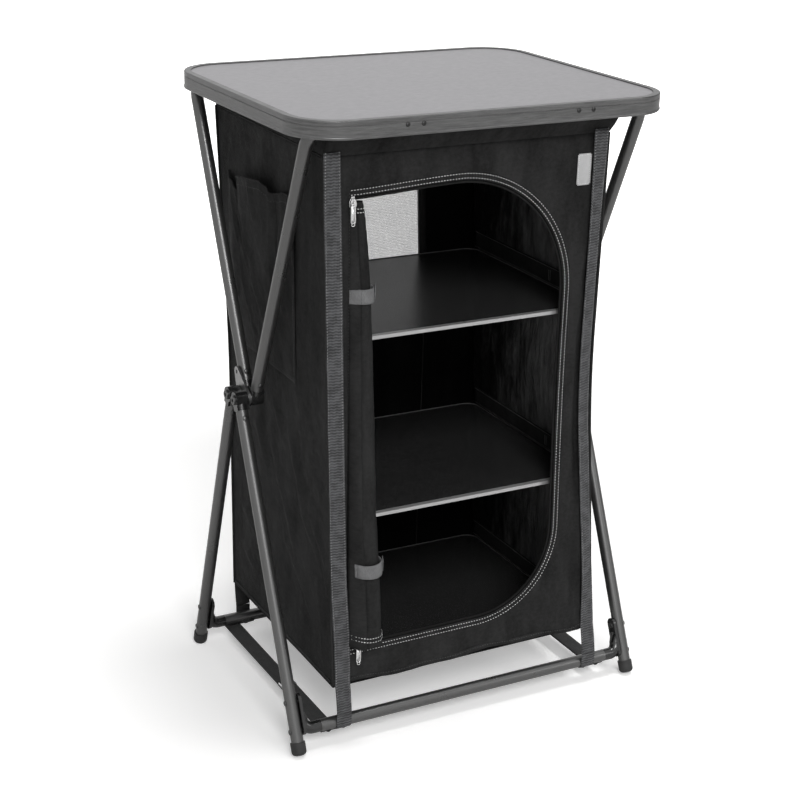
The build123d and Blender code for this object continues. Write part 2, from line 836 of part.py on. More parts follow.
def front_face_y(x, height):
    """Where the front panel's outer face lies at this x and height."""
    a = corner_at(front_left, height)
    b = corner_at(front_right, height)
    return a.Y + (b.Y - a.Y) * (x - a.X) / (b.X - a.X)


def wall_piece(first, second, heights, near, far, **stretch):
    """Sheet that follows a wall through the given heights."""
    with BuildPart() as piece:
        for height in heights:
            with BuildSketch(Plane.XY.offset(height)):
                with BuildLine():
                    points = wall_strip(first, second, height, near, far, **stretch)
                    Polyline(*[(p.X, p.Y) for p in points], close=True)
                make_face()
        loft(ruled=True)
    return piece.part


def door_shape(inset, left=door_left):
    """Outline of the door opening, drawn in by inset on all sides but the straight left one."""
    right = door_right - inset
    top = door_top - inset
    bottom = door_bottom + inset
    upper = door_upper_radius - inset
    lower = door_lower_radius - inset
    with BuildSketch() as shape:
        with BuildLine():
            Polyline((right - lower, bottom), (left, bottom), (left, top), (right - upper, top))
            TangentArc((right - upper, top), (right, top - upper), tangent=(1, 0))
            Line((right, top - upper), (right, bottom + lower))
            TangentArc((right, bottom + lower), (right - lower, bottom), tangent=(0, -1))
        make_face()
    return shape.sketch


corners = (front_left, front_right, rear_right, rear_left)
wall_heights = (hem_height, waist_height, collar_bottom)
side_trim = fabric + fabric_gap / 2

# Front panel with the door opening
with BuildPart() as front_panel:
    add(wall_piece(front_left, front_right, wall_heights, 0, fabric))
    with BuildSketch(Plane.XZ):
        add(door_shape(0))
    extrude(amount=table_depth, mode=Mode.SUBTRACT)
save(front_panel.part, "front_panel")
for name, first, second in (("right", front_right, rear_right), ("left", rear_left, front_left)):
    side_panel = wall_piece(first, second, wall_heights, 0, fabric, start=side_trim, end=side_trim)
    save(side_panel, f"{name}_panel")

# Rear panel with its mesh window
window_center_z = window_bottom + window_height / 2
with BuildPart() as rear_panel:
    add(wall_piece(rear_right, rear_left, wall_heights, 0, fabric))
    with BuildSketch(Plane.XZ):
        with Locations((window_center_x, window_center_z)):
            RectangleRounded(window_width, window_height, window_radius)
    extrude(amount=-table_depth, mode=Mode.SUBTRACT)
save(rear_panel.part, "rear_panel")

mesh_heights = (window_bottom - mesh_margin, window_bottom + window_height + mesh_margin)
mesh_start = rear_right[1][0] - window_center_x - window_width / 2 - mesh_margin
mesh_width = window_width + 2 * mesh_margin
mesh_far = fabric + fabric_gap + mesh_thickness
mesh_pitch_x = window_width / mesh_columns
mesh_pitch_z = window_height / mesh_rows
with BuildPart() as mesh_window:
    add(wall_piece(rear_right, rear_left, mesh_heights, fabric + fabric_gap, mesh_far,
                   start=mesh_start, width=mesh_width))
    with BuildSketch(Plane.XZ):
        with Locations((window_center_x, window_center_z)):
            with GridLocations(mesh_pitch_x, mesh_pitch_z, mesh_columns, mesh_rows):
                Rectangle(mesh_pitch_x - mesh_strand, mesh_pitch_z - mesh_strand)
    extrude(amount=-table_depth, mode=Mode.SUBTRACT)
save(mesh_window.part, "mesh_window")

# Bottom panel, sewn to the hems
with BuildPart() as bottom_panel:
    with BuildSketch(Plane.XY.offset(hem_height - fabric_gap)):
        with BuildLine():
            hem_corners = [corner_at(corner, hem_height) for corner in corners]
            Polyline(*[(p.X, p.Y) for p in hem_corners], close=True)
        make_face()
    extrude(amount=-fabric)
save(bottom_panel.part, "bottom_panel")


# Collar: a band that spreads from the panels' top edges to the underside of the table
collar_low = [corner_at(corner, collar_bottom) for corner in corners]
with BuildPart() as collar:
    for inset, mode in ((0, Mode.ADD), (-fabric, Mode.SUBTRACT)):
        with BuildSketch(Plane.XY.offset(collar_bottom + fabric_gap)):
            with BuildLine():
                Polyline(*[(p.X, p.Y) for p in collar_low], close=True)
            make_face()
            offset(amount=inset, kind=Kind.INTERSECTION)
        with BuildSketch(Plane.XY.offset(bar_height - tube_radius - 2 * fabric_gap)):
            with BuildLine():
                Polyline(*collar_top, close=True)
            make_face()
            offset(amount=inset, kind=Kind.INTERSECTION)
        loft(ruled=True, mode=mode)
save(collar.part, "collar")

# Zip tape: a D-shaped band behind the hem of the door opening
zip_near = fabric + fabric_gap
with BuildPart() as zip_tape:
    add(wall_piece(front_left, front_right, wall_heights, zip_near, zip_near + zip_thickness))
    with BuildSketch(Plane.XZ):
        Rectangle(2 * table_width, 2 * table_height)
        add(door_shape(-zip_under_hem), mode=Mode.SUBTRACT)
        add(door_shape(zip_inside, left=door_left - zip_under_hem))
    extrude(amount=table_depth, mode=Mode.SUBTRACT)
save(zip_tape.part, "zip_tape")

# Door: rolled up and hung in the left side of its opening
roll_axis = Vector(*roll_bottom) - Vector(*roll_top)


def roll_place(height):
    """Middle and radius of the rolled door at this height."""
    share = (roll_top[2] - height) / (roll_top[2] - roll_bottom[2])
    middle = Vector(*roll_top) + roll_axis * share
    return middle, roll_top_radius + (roll_bottom_radius - roll_top_radius) * share


with BuildPart() as door_roll:
    with BuildSketch(Plane.XY.offset(roll_top[2])):
        with Locations(roll_top[:2]):
            Circle(roll_top_radius)
    with BuildSketch(Plane.XY.offset(roll_bottom[2])):
        with Locations(roll_bottom[:2]):
            Circle(roll_bottom_radius)
    loft()
save(door_roll.part, "door_roll")

# Webbing loops that tie the rolled door to the front panel, each with a tab sewn beside the opening
with BuildPart() as roll_straps:
    for height in roll_strap_heights:
        middle, radius = roll_place(height)
        for grow, mode in ((webbing, Mode.ADD), (0, Mode.SUBTRACT)):
            for level in (height - roll_strap_width / 2, height + roll_strap_width / 2):
                place, level_radius = roll_place(level)
                with BuildSketch(Plane.XY.offset(level)):
                    with Locations((place.X, place.Y)):
                        Circle(level_radius + loop_clearance + grow)
            loft(ruled=True, mode=mode)
            if mode == Mode.ADD:
                tab_x = door_left - roll_strap_tab
                face_y = front_face_y(tab_x, height - roll_strap_width / 2) - fabric_gap
                ring_x = middle.X - ((radius + webbing) ** 2 - (middle.Y - face_y) ** 2) ** 0.5
                with BuildSketch(Plane.XY.offset(height)):
                    with Locations(((tab_x + ring_x) / 2, face_y - webbing / 2)):
                        Rectangle(ring_x - tab_x, webbing)
                extrude(amount=roll_strap_width / 2, both=True)
save(roll_straps.part, "roll_straps")

# Corner straps, from the collar down to the loops on the crossbars
strap_heights = (hem_height, waist_height, collar_bottom - fabric_gap)


def strap_section(height, start_x, inner_y, out):
    """Section of a corner strap: it runs along X from start_x, on the outside of inner_y."""
    end_x = start_x - out * corner_strap_width
    outer_y = inner_y + out * webbing
    with BuildSketch(Plane.XY.offset(height)) as section:
        with BuildLine():
            Polyline((start_x, outer_y), (end_x, outer_y), (end_x, inner_y), (start_x, inner_y), close=True)
        make_face()
    return section.sketch


def corner_strap(first, second, side, plane, out, at_start):
    """Webbing on the outside of one corner, which ends just above the loop on its crossbar."""
    bar_y, _ = bar_place(plane)
    with BuildPart() as strap:
        end_x = side * strap_loop_x + out * corner_strap_width / 2
        end_y = bar_y + out * (tube_radius + loop_clearance)
        add(strap_section(strap_end_height + loop_clearance, end_x, end_y, out))
        for height in strap_heights:
            wall_length = (corner_at(second, height) - corner_at(first, height)).length
            start = 0 if at_start else wall_length - corner_strap_width
            line = wall_strip(first, second, height, -fabric_gap, -fabric_gap,
                              start=start, width=corner_strap_width)
            add(strap_section(height, line[0].X, out * max(out * point.Y for point in line), out))
        loft(ruled=True)
    return strap.part


save(corner_strap(front_left, front_right, -1, lower_front_plane, -1, True), "front_left_strap")
save(corner_strap(front_left, front_right, 1, lower_front_plane, -1, False), "front_right_strap")
save(corner_strap(rear_right, rear_left, 1, lower_rear_plane, 1, True), "rear_right_strap")
save(corner_strap(rear_right, rear_left, -1, lower_rear_plane, 1, False), "rear_left_strap")


def zip_slider(x, height, direction):
    """Slider, pull and end stop of one zip end; direction is +1 where the opening lies above the zip."""
    middle_z = height + direction * (slider_width / 2 + loop_clearance)
    back_y = front_face_y(x, middle_z) + fabric + fabric_gap - loop_clearance
    front_y = back_y - slider_thickness
    bar_y = front_y - bail_rise
    post_x = slider_length / 2 - bail_width / 4
    with BuildPart() as slider:
        with BuildSketch(Plane.XZ.offset(-back_y)):
            with Locations((x, middle_z)):
                SlotCenterToCenter(slider_length - slider_width, slider_width)
        extrude(amount=slider_thickness)
        chamfer(edges().group_by(Axis.Y)[0], slider_waist / 2)
        for side in (-1, 1):
            with BuildSketch(Plane.YZ.offset(x + side * post_x)):
                with Locations(((front_y + bar_y) / 2, middle_z)):
                    Rectangle(bail_rise + pull_pin_diameter, bail_width)
            extrude(amount=bail_width / 4, both=True)
        with BuildSketch(Plane.YZ.offset(x - post_x)):
            with Locations((bar_y, middle_z)):
                Circle(pull_pin_diameter / 2)
        extrude(amount=2 * post_x)
    with BuildPart() as pull:
        with BuildSketch(Plane.YZ.offset(x)):
            with Locations((bar_y, middle_z)):
                Circle(pull_eye_diameter / 2)
                Circle(pull_pin_diameter / 2 + eye_clearance, mode=Mode.SUBTRACT)
        extrude(amount=pull_width / 2, both=True)
        with BuildSketch(Plane.XZ.offset(-bar_y)):
            with Locations((x, middle_z - pull_pin_diameter / 2 - eye_clearance - pull_length / 2)):
                RectangleRounded(pull_width, pull_length, pull_rounding)
            with Locations((x, middle_z - pull_length + pull_width / 2)):
                Circle(pull_hole_diameter / 2, mode=Mode.SUBTRACT)
        extrude(amount=pull_thickness / 2, both=True)
    with BuildPart() as stop:
        with BuildSketch(Plane.XZ.offset(-back_y)):
            with Locations((x - (slider_length + stop_length) / 2 - loop_clearance, middle_z)):
                RectangleRounded(stop_length, slider_width, stop_rounding)
        extrude(amount=stop_thickness)
    return slider.part, pull.part, stop.part


zip_ends = (("upper", upper_slider_x, door_top, -1), ("lower", lower_slider_x, door_bottom, 1))
for name, x, height, direction in zip_ends:
    slider_part, pull_part, stop_part = zip_slider(x, height, direction)
    save(slider_part, f"{name}_zip_slider")
    save(pull_part, f"{name}_zip_pull")
    save(stop_part, f"{name}_zip_stop")


def wall_x(rear_corner, front_corner, y, height):
    """Outer face of a side wall at this y and height."""
    a = corner_at(rear_corner, height)
    b = corner_at(front_corner, height)
    return a.X + (b.X - a.X) * (y - a.Y) / (b.Y - a.Y)


# Shelves: stiff boards that reach from wall to wall, each with a channel on its front edge
side_depth = fabric + shelf_wall_clearance
rear_depth = fabric + fabric_gap + mesh_thickness + shelf_wall_clearance
board_front_y = shelf_front_y + trim_wall + eye_clearance
for name, top in shelf_tops.items():
    left_front = wall_x(rear_left, front_left, shelf_front_y, top) + side_depth
    right_front = wall_x(rear_right, front_right, shelf_front_y, top) - side_depth
    back_left = corner_at(rear_left, top) + Vector(side_depth, -rear_depth)
    back_right = corner_at(rear_right, top) + Vector(-side_depth, -rear_depth)
    with BuildPart() as shelf:
        with BuildSketch(Plane.XY.offset(top)):
            with BuildLine():
                Polyline((left_front, board_front_y), (right_front, board_front_y),
                         (back_right.X, back_right.Y), (back_left.X, back_left.Y), close=True)
            make_face()
        extrude(amount=-shelf_thickness)
    save(shelf.part, f"{name}_shelf")
    with BuildPart() as trim:
        middle_z = top - shelf_thickness / 2
        with BuildSketch(Plane.YZ.offset(left_front)):
            with Locations((shelf_front_y + trim_depth / 2, middle_z)):
                Rectangle(trim_depth, trim_height)
            with Locations((shelf_front_y + trim_wall + trim_depth / 2, middle_z)):
                Rectangle(trim_depth, trim_height - 2 * trim_wall, mode=Mode.SUBTRACT)
        extrude(amount=right_front - left_front)
    save(trim.part, f"{name}_shelf_trim")

# Fabric bands sewn to the side walls above each shelf
with BuildPart() as shelf_bands:
    band_near = fabric + fabric_gap
    for top in shelf_tops.values():
        levels = (top + shelf_band_lift, top + shelf_band_lift + shelf_band_height)
        for first, second in ((front_right, rear_right), (rear_left, front_left)):
            add(wall_piece(first, second, levels, band_near, band_near + band_thickness,
                           start=trim_depth, end=trim_depth))
save(shelf_bands.part, "shelf_bands")


def pocket_outline(height, swell, inset):
    """Corners of the side pocket's section: scallops on the outside, the panel's line on the inside."""
    front_y = pocket_front_y + inset
    rear_y = pocket_rear_y - inset
    step = (rear_y - front_y) / pocket_pleats
    outside = []
    for k in range(pocket_pleats + 1):
        y = front_y + k * step
        edge = 0 if k in (0, pocket_pleats) else swell - inset
        wall = wall_x(rear_left, front_left, y, height)
        outside.append(Vector(wall - 2 * fabric_gap - fabric - edge, y, height))
    rise = pleat_depth * swell / pocket_swell + fabric_gap
    outline = outside[:1]
    for a, b in zip(outside, outside[1:]):
        for share in pleat_shares:
            bulge = 4 * share * (1 - share) * rise
            outline.append(a + (b - a) * share - Vector(bulge, 0))
    for y in (rear_y, front_y):
        outline.append(Vector(wall_x(rear_left, front_left, y, height) - fabric_gap, y, height))
    return outline


def flat_face(*corners):
    """Flat face between corners."""
    return Face(Wire.make_polygon(corners, close=True))


def faceted(low, high):
    """Solid between two outlines, with flat three-cornered sides."""
    sides = [flat_face(*low), flat_face(*high)]
    for k, (a, d) in enumerate(zip(low, high)):
        b, c = low[(k + 1) % len(low)], high[(k + 1) % len(high)]
        sides += [flat_face(a, b, c), flat_face(a, c, d)]
    return Solid(Shell(sides))


# Side pocket: gathered along its mouth and flat at its foot
side_pocket = faceted(pocket_outline(pocket_bottom, fabric_gap, 0), pocket_outline(pocket_top, pocket_swell, 0))
side_pocket -= faceted(
    pocket_outline(pocket_bottom + 2 * pocket_swell, 2 * fabric, fabric),
    pocket_outline(pocket_top + fabric, pocket_swell, fabric),
)
save(side_pocket, "side_pocket")

# Blank tag on the front panel
tag_start = tag_left - front_left[0][0]
save(wall_piece(front_left, front_right, (tag_bottom, tag_bottom + tag_height),
                -fabric_gap - tag_thickness, -fabric_gap, start=tag_start, width=tag_width), "tag")
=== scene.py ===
"""Looks of the folding camping cupboard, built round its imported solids.

Shapes are worked out in millimetres, in the frame of the solids, and turned into metres where a mesh is
made. A fold is a row of width, height and the points that it runs along.
"""
import json
from math import copysign, cos, dist, exp, hypot, pi, radians, sin, sqrt

import bpy
from mathutils import Matrix, Vector, noise


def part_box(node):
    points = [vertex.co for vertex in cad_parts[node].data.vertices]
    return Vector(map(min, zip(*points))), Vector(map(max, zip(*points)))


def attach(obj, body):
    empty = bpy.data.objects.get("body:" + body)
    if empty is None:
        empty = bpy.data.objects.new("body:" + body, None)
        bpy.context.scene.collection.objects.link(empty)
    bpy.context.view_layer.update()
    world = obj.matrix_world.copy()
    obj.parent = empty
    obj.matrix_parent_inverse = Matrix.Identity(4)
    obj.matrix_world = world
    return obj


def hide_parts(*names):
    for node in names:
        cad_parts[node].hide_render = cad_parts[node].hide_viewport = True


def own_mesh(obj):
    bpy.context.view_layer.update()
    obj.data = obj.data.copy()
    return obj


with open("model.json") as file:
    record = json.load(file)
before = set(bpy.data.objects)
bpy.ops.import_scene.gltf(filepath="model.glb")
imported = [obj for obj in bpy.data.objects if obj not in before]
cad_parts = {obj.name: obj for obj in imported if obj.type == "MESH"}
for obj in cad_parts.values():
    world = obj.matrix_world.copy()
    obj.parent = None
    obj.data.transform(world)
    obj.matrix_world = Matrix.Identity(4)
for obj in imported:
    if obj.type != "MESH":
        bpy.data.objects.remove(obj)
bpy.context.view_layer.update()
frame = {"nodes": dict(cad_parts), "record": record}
NODES = frame["nodes"]
MM = 0.001
TABLE = "table_and_cupboard"


def vec(x, y, z):
    return Vector((x, y, z))


RIGHT, FORWARD, UP = vec(1, 0, 0), vec(0, -1, 0), vec(0, 0, 1)


def add_object(name, data):
    thing = bpy.data.objects.new(name, data)
    bpy.context.scene.collection.objects.link(thing)
    return thing


def node(tree, kind, inputs=(), **settings):
    """Outputs of a new shader node; inputs holds a value or a linked output for each socket."""
    step = tree.nodes.new(kind)
    for key, value in settings.items():
        setattr(step, key, value)
    for key, value in dict(inputs).items():
        if isinstance(value, bpy.types.NodeSocket):
            tree.links.new(value, step.inputs[key])
        else:
            step.inputs[key].default_value = value
    return step.outputs


# Camera, lamps and floor --------------------

CAMERA_TURNS = (-28.155, 20.138, 1.298)
CAMERA_AIM = vec(0, 0.005, 0.44828)
CAMERA_SHIFT, CAMERA_AWAY, CAMERA_LENS = 0.01373, 2.78311, 78.43
WHITE = (1, 1, 1, 1)
AMBIENT = 0.23
FLOOR_HALF = 9


def make_camera():
    azimuth, elevation, roll = (radians(a) for a in CAMERA_TURNS)
    back = vec(
        sin(azimuth) * cos(elevation),
        -cos(azimuth) * cos(elevation),
        sin(elevation),
    )
    right = (-back).cross(UP).normalized()
    up = right.cross(-back)
    turned_right = right * cos(roll) + up * sin(roll)
    turned_up = up * cos(roll) - right * sin(roll)
    data = bpy.data.cameras.new("camera")
    data.sensor_width = 36
    data.lens = CAMERA_LENS
    data.clip_end = 50
    camera = add_object("camera", data)
    place = CAMERA_AIM - turned_right * CAMERA_SHIFT + back * CAMERA_AWAY
    turn = Matrix((turned_right, turned_up, back)).transposed()
    camera.matrix_world = Matrix.Translation(place) @ turn.to_4x4()
    bpy.context.scene.camera = camera


def lamp(kind, name, place, target, power, size):
    """Area lamp, or sun, whose size is then its angle."""
    data = bpy.data.lights.new(name, kind)
    if kind == "AREA":
        data.shape = "SQUARE"
        data.size = size
    else:
        data.angle = size
    data.energy = power
    thing = add_object(name, data)
    thing.location = place
    thing.rotation_mode = "QUATERNION"
    thing.rotation_quaternion = (Vector(target) - Vector(place)).to_track_quat("-Z", "Y")


def seen_rays(tree, glossy=False):
    """A socket that is 1 for camera rays, and for glossy rays if they are wanted too."""
    path = node(tree, "ShaderNodeLightPath")
    if not glossy:
        return path["Is Camera Ray"]
    rays = {0: path["Is Camera Ray"], 1: path["Is Glossy Ray"]}
    return node(tree, "ShaderNodeMath", rays, operation="MAXIMUM")[0]


def make_world():
    """White for camera and mirrored rays, dimmer at the right in mirrors, and soft light for the rest."""
    world = bpy.data.worlds.new("studio")
    bpy.context.scene.world = world
    world.use_nodes = True
    tree = world.node_tree
    tree.nodes.clear()
    direction = node(tree, "ShaderNodeSeparateXYZ", {0: node(tree, "ShaderNodeTexCoord")["Generated"]})
    dimmer = node(tree, "ShaderNodeMapRange", {
        "Value": direction["X"], "From Min": 0.5, "From Max": 0.9, "To Min": 1.0, "To Max": 0.35,
    })
    strength = node(tree, "ShaderNodeMath", {0: dimmer[0], 1: seen_rays(tree)}, operation="MAXIMUM")
    shown = node(tree, "ShaderNodeBackground", {"Color": WHITE, "Strength": strength[0]})
    lighting = node(tree, "ShaderNodeBackground", {"Color": WHITE, "Strength": AMBIENT})
    mix = node(tree, "ShaderNodeMixShader", {0: seen_rays(tree, glossy=True), 1: lighting[0], 2: shown[0]})
    node(tree, "ShaderNodeOutputWorld", {"Surface": mix[0]})


def make_floor():
    """White floor that glows more for the camera the further it is from the cupboard."""
    mesh = bpy.data.meshes.new("floor")
    corners = [(x * FLOOR_HALF, y * FLOOR_HALF, 0) for x, y in ((-1, -1), (1, -1), (1, 1), (-1, 1))]
    mesh.from_pydata(corners, [], [(0, 1, 2, 3)])
    floor = add_object("floor", mesh)
    paint = bpy.data.materials.new("floor_white")
    paint.use_nodes = True
    tree = paint.node_tree
    tree.nodes.clear()
    place = node(tree, "ShaderNodeTexCoord")["Object"]
    distance = node(tree, "ShaderNodeVectorMath", {0: place}, operation="LENGTH")["Value"]
    far = node(tree, "ShaderNodeMapRange", {
        "Value": distance, "From Min": 0.9, "From Max": 2.6, "To Min": 0.32, "To Max": 1.0,
    }, interpolation_type="SMOOTHSTEP")
    strength = node(tree, "ShaderNodeMath", {0: seen_rays(tree), 1: far[0]}, operation="MULTIPLY")
    glow = node(tree, "ShaderNodeEmission", {"Color": WHITE, "Strength": strength[0]})
    diffuse = node(tree, "ShaderNodeBsdfDiffuse", {"Color": (0.9, 0.895, 0.89, 1)})
    both = node(tree, "ShaderNodeAddShader", {0: diffuse[0], 1: glow[0]})
    node(tree, "ShaderNodeOutputMaterial", {"Surface": both[0]})
    floor.data.materials.append(paint)


make_camera()
make_world()
make_floor()
lamp("SUN", "key", (-0.65, -2.3, 2.5), (0, 0, 0.5), 1.5, 0.4)
lamp("SUN", "right_top", (0.4, -0.1, 2.9), (0, 0, 0.5), 1.2, 0.3)
lamp("AREA", "front_left", (-0.75, -2.0, 1.25), (-0.1, 0, 0.55), 3.5, 0.9)
lamp("AREA", "front_right", (1.5, -1.6, 1.2), (0, 0, 0.55), 4, 0.5)


# Materials --------------------

WEAVE = 0.0011
WEAVE_RELIEF = 0.00016


class Paint:
    """A Principled material that is built up node by node."""

    def __init__(self, name, roughness, metallic=0.0, specular=0.5, sheen=0.0):
        self.material = bpy.data.materials.new(name)
        self.material.use_nodes = True
        self.tree = self.material.node_tree
        self.shader = self.tree.nodes["Principled BSDF"]
        values = {"Roughness": roughness, "Metallic": metallic, "Specular IOR Level": specular,
                  "Sheen Weight": sheen, "Sheen Roughness": 0.45}
        for key, value in values.items():
            self.shader.inputs[key].default_value = value
        self.height = None

    def math(self, operation, *values):
        return node(self.tree, "ShaderNodeMath", enumerate(values), operation=operation)[0]

    def plus(self, a, b):
        return self.math("ADD", a, b)

    def times(self, a, b):
        return self.math("MULTIPLY", a, b)

    def place(self, kind, scale=(1, 1, 1)):
        """Coordinates of the surface, in metres times scale: Object, or UV."""
        source = node(self.tree, "ShaderNodeTexCoord")[kind]
        return node(self.tree, "ShaderNodeMapping", {"Vector": source, "Scale": scale})[0]

    def split(self, place):
        return node(self.tree, "ShaderNodeSeparateXYZ", {0: place})

    def noise(self, place, scale, detail=3.0, roughness=0.55):
        return node(self.tree, "ShaderNodeTexNoise", {
            "Vector": place, "Scale": scale, "Detail": detail, "Roughness": roughness,
        })["Fac"]

    def wave(self, along, pitch):
        """Sine along one coordinate with this pitch in metres."""
        return self.math("SINE", self.times(along, 2 * pi / pitch))

    def weave(self, x, y, pitch=WEAVE):
        self.bump(self.times(self.wave(x, pitch), self.wave(y, pitch)), WEAVE_RELIEF, 0.45)

    def color(self, share, dark, light, low=0.3, high=0.7):
        """Colour, or grey, that goes from dark to light as share rises from low to high."""
        ramp = self.tree.nodes.new("ShaderNodeValToRGB")
        for stop, position, shade in zip(ramp.color_ramp.elements, (low, high), (dark, light)):
            stop.position = position
            stop.color = (*(shade if isinstance(shade, tuple) else grey(shade)), 1)
        self.tree.links.new(share, ramp.inputs["Fac"])
        self.tree.links.new(ramp.outputs["Color"], self.shader.inputs["Base Color"])

    def rough(self, share, low, high):
        spread = node(self.tree, "ShaderNodeMapRange", {
            "Value": share, "From Min": 0.25, "From Max": 0.75, "To Min": low, "To Max": high,
        })
        self.tree.links.new(spread[0], self.shader.inputs["Roughness"])

    def bump(self, share, distance, strength=1.0):
        """Adds relief of this height in metres."""
        below = {} if self.height is None else {"Normal": self.height}
        self.height = node(self.tree, "ShaderNodeBump", {
            "Strength": strength, "Distance": distance, "Height": share, **below,
        })[0]
        self.tree.links.new(self.height, self.shader.inputs["Normal"])


def grey(v, tint=0.0):
    return (v * (1 - tint), v * (1 - tint * 0.5), v * (1 + tint))


def cloth(name, dark, light, pitch=WEAVE, sheen=0.0, roughness=0.52):
    """Plain-woven polyester on flat coordinates in metres; its colour holds painted light and shade of soft folds.
    """
    paint = Paint(name, roughness, specular=0.015, sheen=sheen)
    uv = paint.place("UV")
    x, y, _ = paint.split(uv)
    # Stretched cloudy noise in the colour is painted light and shade of soft folds; the fine specks are the cloth's
    # own tone.
    painted_fold_shade = paint.times(paint.noise(paint.place("UV", (1.7, 0.55, 1)), 12, 3, 0.6), 0.6)
    specks = paint.times(paint.noise(uv, 160, 6, 0.75), 0.4)
    paint.color(paint.plus(painted_fold_shade, specks), dark, light, 0.38, 0.6)
    paint.rough(paint.noise(uv, 60, 5, 0.65), roughness - 0.12, roughness + 0.1)
    paint.bump(paint.noise(uv, 13, 3, 0.5), 0.006, 0.8)
    paint.bump(paint.noise(uv, 45, 4, 0.6), 0.0014, 0.7)
    paint.bump(paint.noise(uv, 900, 2), 0.00012, 0.35)
    paint.weave(x, y, pitch)
    return paint.material


def painted_light_lining(name):
    """Lining of the right wall, with painted light: paler towards the front, where light falls in, and streaks of
    painted light along its folds.
    """
    paint = Paint(name, 0.5, specular=0.1)
    y, z, _ = paint.split(paint.place("UV"))
    # The stretched noise is painted light on the folds, and the rise towards the front is painted light from the
    # opening.
    mottle = paint.times(paint.noise(paint.place("UV", (3, 0.8, 1)), 14, 5, 0.7), 0.8)
    paint.color(paint.plus(mottle, paint.times(y, -1.5)), 0.014, 0.33, 0.25, 0.95)
    paint.bump(paint.noise(paint.place("UV", (3, 0.7, 1)), 12, 4, 0.6), 0.01)
    paint.weave(y, z)
    return paint.material


def webbing(name, dark, light, rib=0.0043, depth=0.0005):
    """Ribbed webbing: ribs across it that waver, and yarns along it."""
    paint = Paint(name, 0.68, specular=0.3, sheen=0.04)
    uv = paint.place("UV")
    x, y, _ = paint.split(uv)
    waver = paint.plus(paint.times(paint.wave(x, 0.0083), 0.00045), paint.times(paint.noise(uv, 180, 2), 0.0018))
    ribs = paint.wave(paint.plus(y, waver), rib)
    both = paint.plus(ribs, paint.times(paint.wave(x, 0.0021), 0.3))
    paint.color(paint.plus(paint.times(both, 0.2), paint.noise(uv, 70, 4)), dark, light, 0.28, 0.74)
    paint.bump(both, depth, 0.7)
    paint.bump(paint.noise(uv, 1400, 2), 0.0001, 0.3)
    return paint.material


def metal(name, dark, light, roughness, metallic=0.85, stretch=(1, 1, 1), scale=900, relief=0.00004):
    """Metal or its coat, with fine grain that may be stretched along the surface."""
    paint = Paint(name, roughness, metallic=metallic)
    grain = paint.noise(paint.place("Object", stretch), scale, 4, 0.7)
    paint.color(grain, dark, light)
    paint.rough(paint.noise(paint.place("Object"), 22, 4), roughness - 0.06, roughness + 0.08)
    paint.bump(grain, relief, 0.5)
    return paint.material


def plastic(name, dark, light, roughness, relief=0.00005, scale=900, specular=0.5):
    paint = Paint(name, roughness, specular=specular)
    place = paint.place("Object")
    paint.color(paint.noise(place, 30, 4), dark, light)
    paint.rough(paint.noise(place, 45), roughness - 0.08, roughness + 0.1)
    paint.bump(paint.noise(place, scale, 2), relief, 0.5)
    return paint.material


def thread(name, dark, light, roughness=0.6):
    return plastic(name, dark, light, roughness, scale=3000)


def edge_material():
    """Brushed gunmetal: its lines run round the table, level with it."""
    paint = Paint("edge_brushed", 0.36, metallic=0.55)
    brush = paint.noise(paint.place("Object", (0.02, 0.02, 1)), 2600, 3, 0.7)
    streak = paint.noise(paint.place("Object", (0.06, 0.06, 1)), 420, 4, 0.7)
    paint.color(paint.times(paint.plus(brush, streak), 0.5), 0.06, 0.15, 0.34, 0.64)
    paint.rough(streak, 0.3, 0.46)
    paint.bump(brush, 0.00006)
    return paint.material


def panel_material():
    """Laminated panel with a faint, slightly stretched mottle."""
    paint = Paint("panel_laminate", 0.42, specular=0.45)
    place = paint.place("Object", (1, 2.2, 1))
    paint.color(paint.noise(place, 34, 7, 0.72), (0.27, 0.264, 0.276), (0.286, 0.279, 0.292))
    paint.rough(paint.noise(place, 90, 4), 0.36, 0.5)
    paint.bump(paint.noise(paint.place("Object"), 1500, 2), 0.00005, 0.4)
    return paint.material


def board_material():
    """Coarse black cloth laminated to the shelf boards, with a glittering grain."""
    paint = Paint("board_cloth", 0.27, specular=0.8)
    grain = paint.noise(paint.place("Object"), 620, 3, 0.75)
    paint.color(grain, 0.009, 0.07, 0.42, 0.72)
    paint.bump(grain, 0.00016, 0.5)
    return paint.material


CLOTH = cloth("cloth_black", 0.0145, 0.031)
# Darker copy of the black cloth: painted shade on the inside of the rear and left walls.
INNER_SHADED = cloth("cloth_inner_shaded", 0.003, 0.006)
INNER_RIGHT = painted_light_lining("cloth_inner_right_painted_light")
# Darker copy of the black cloth: painted shade on the zip tape behind its flap and on the cupboard's floor.
CLOTH_SHADED = cloth("cloth_black_shaded", 0.006, 0.011)
BINDING = cloth("cloth_binding", 0.02, 0.032, pitch=0.0016)
GREY_WEBBING = webbing("webbing_grey", grey(0.026, 0.03), grey(0.1, 0.03))
TIE_WEBBING = webbing("webbing_tie", grey(0.12, 0.012), grey(0.2, 0.012), rib=0.0018, depth=0.0003)
BLACK_WEBBING = webbing("webbing_black", 0.012, 0.03, rib=0.002, depth=0.0003)
THREAD_WHITE = thread("thread_white", 0.82, 0.95)
THREAD_BLACK = thread("thread_black", 0.02, 0.05)
THREAD_GREY = thread("thread_grey", 0.16, 0.3)
MESH_THREAD = thread("thread_mesh", grey(0.36, 0.01), grey(0.44, 0.01), 0.55)
ZIP_TEETH = plastic("zip_nylon", 0.008, 0.014, 0.55, specular=0.15)
TAG = cloth("tag_bare", grey(0.45, 0.004), grey(0.55, 0.004), pitch=0.0008, sheen=0.1, roughness=0.6)
PIPING = plastic("piping_grey", 0.09, 0.14, 0.5)
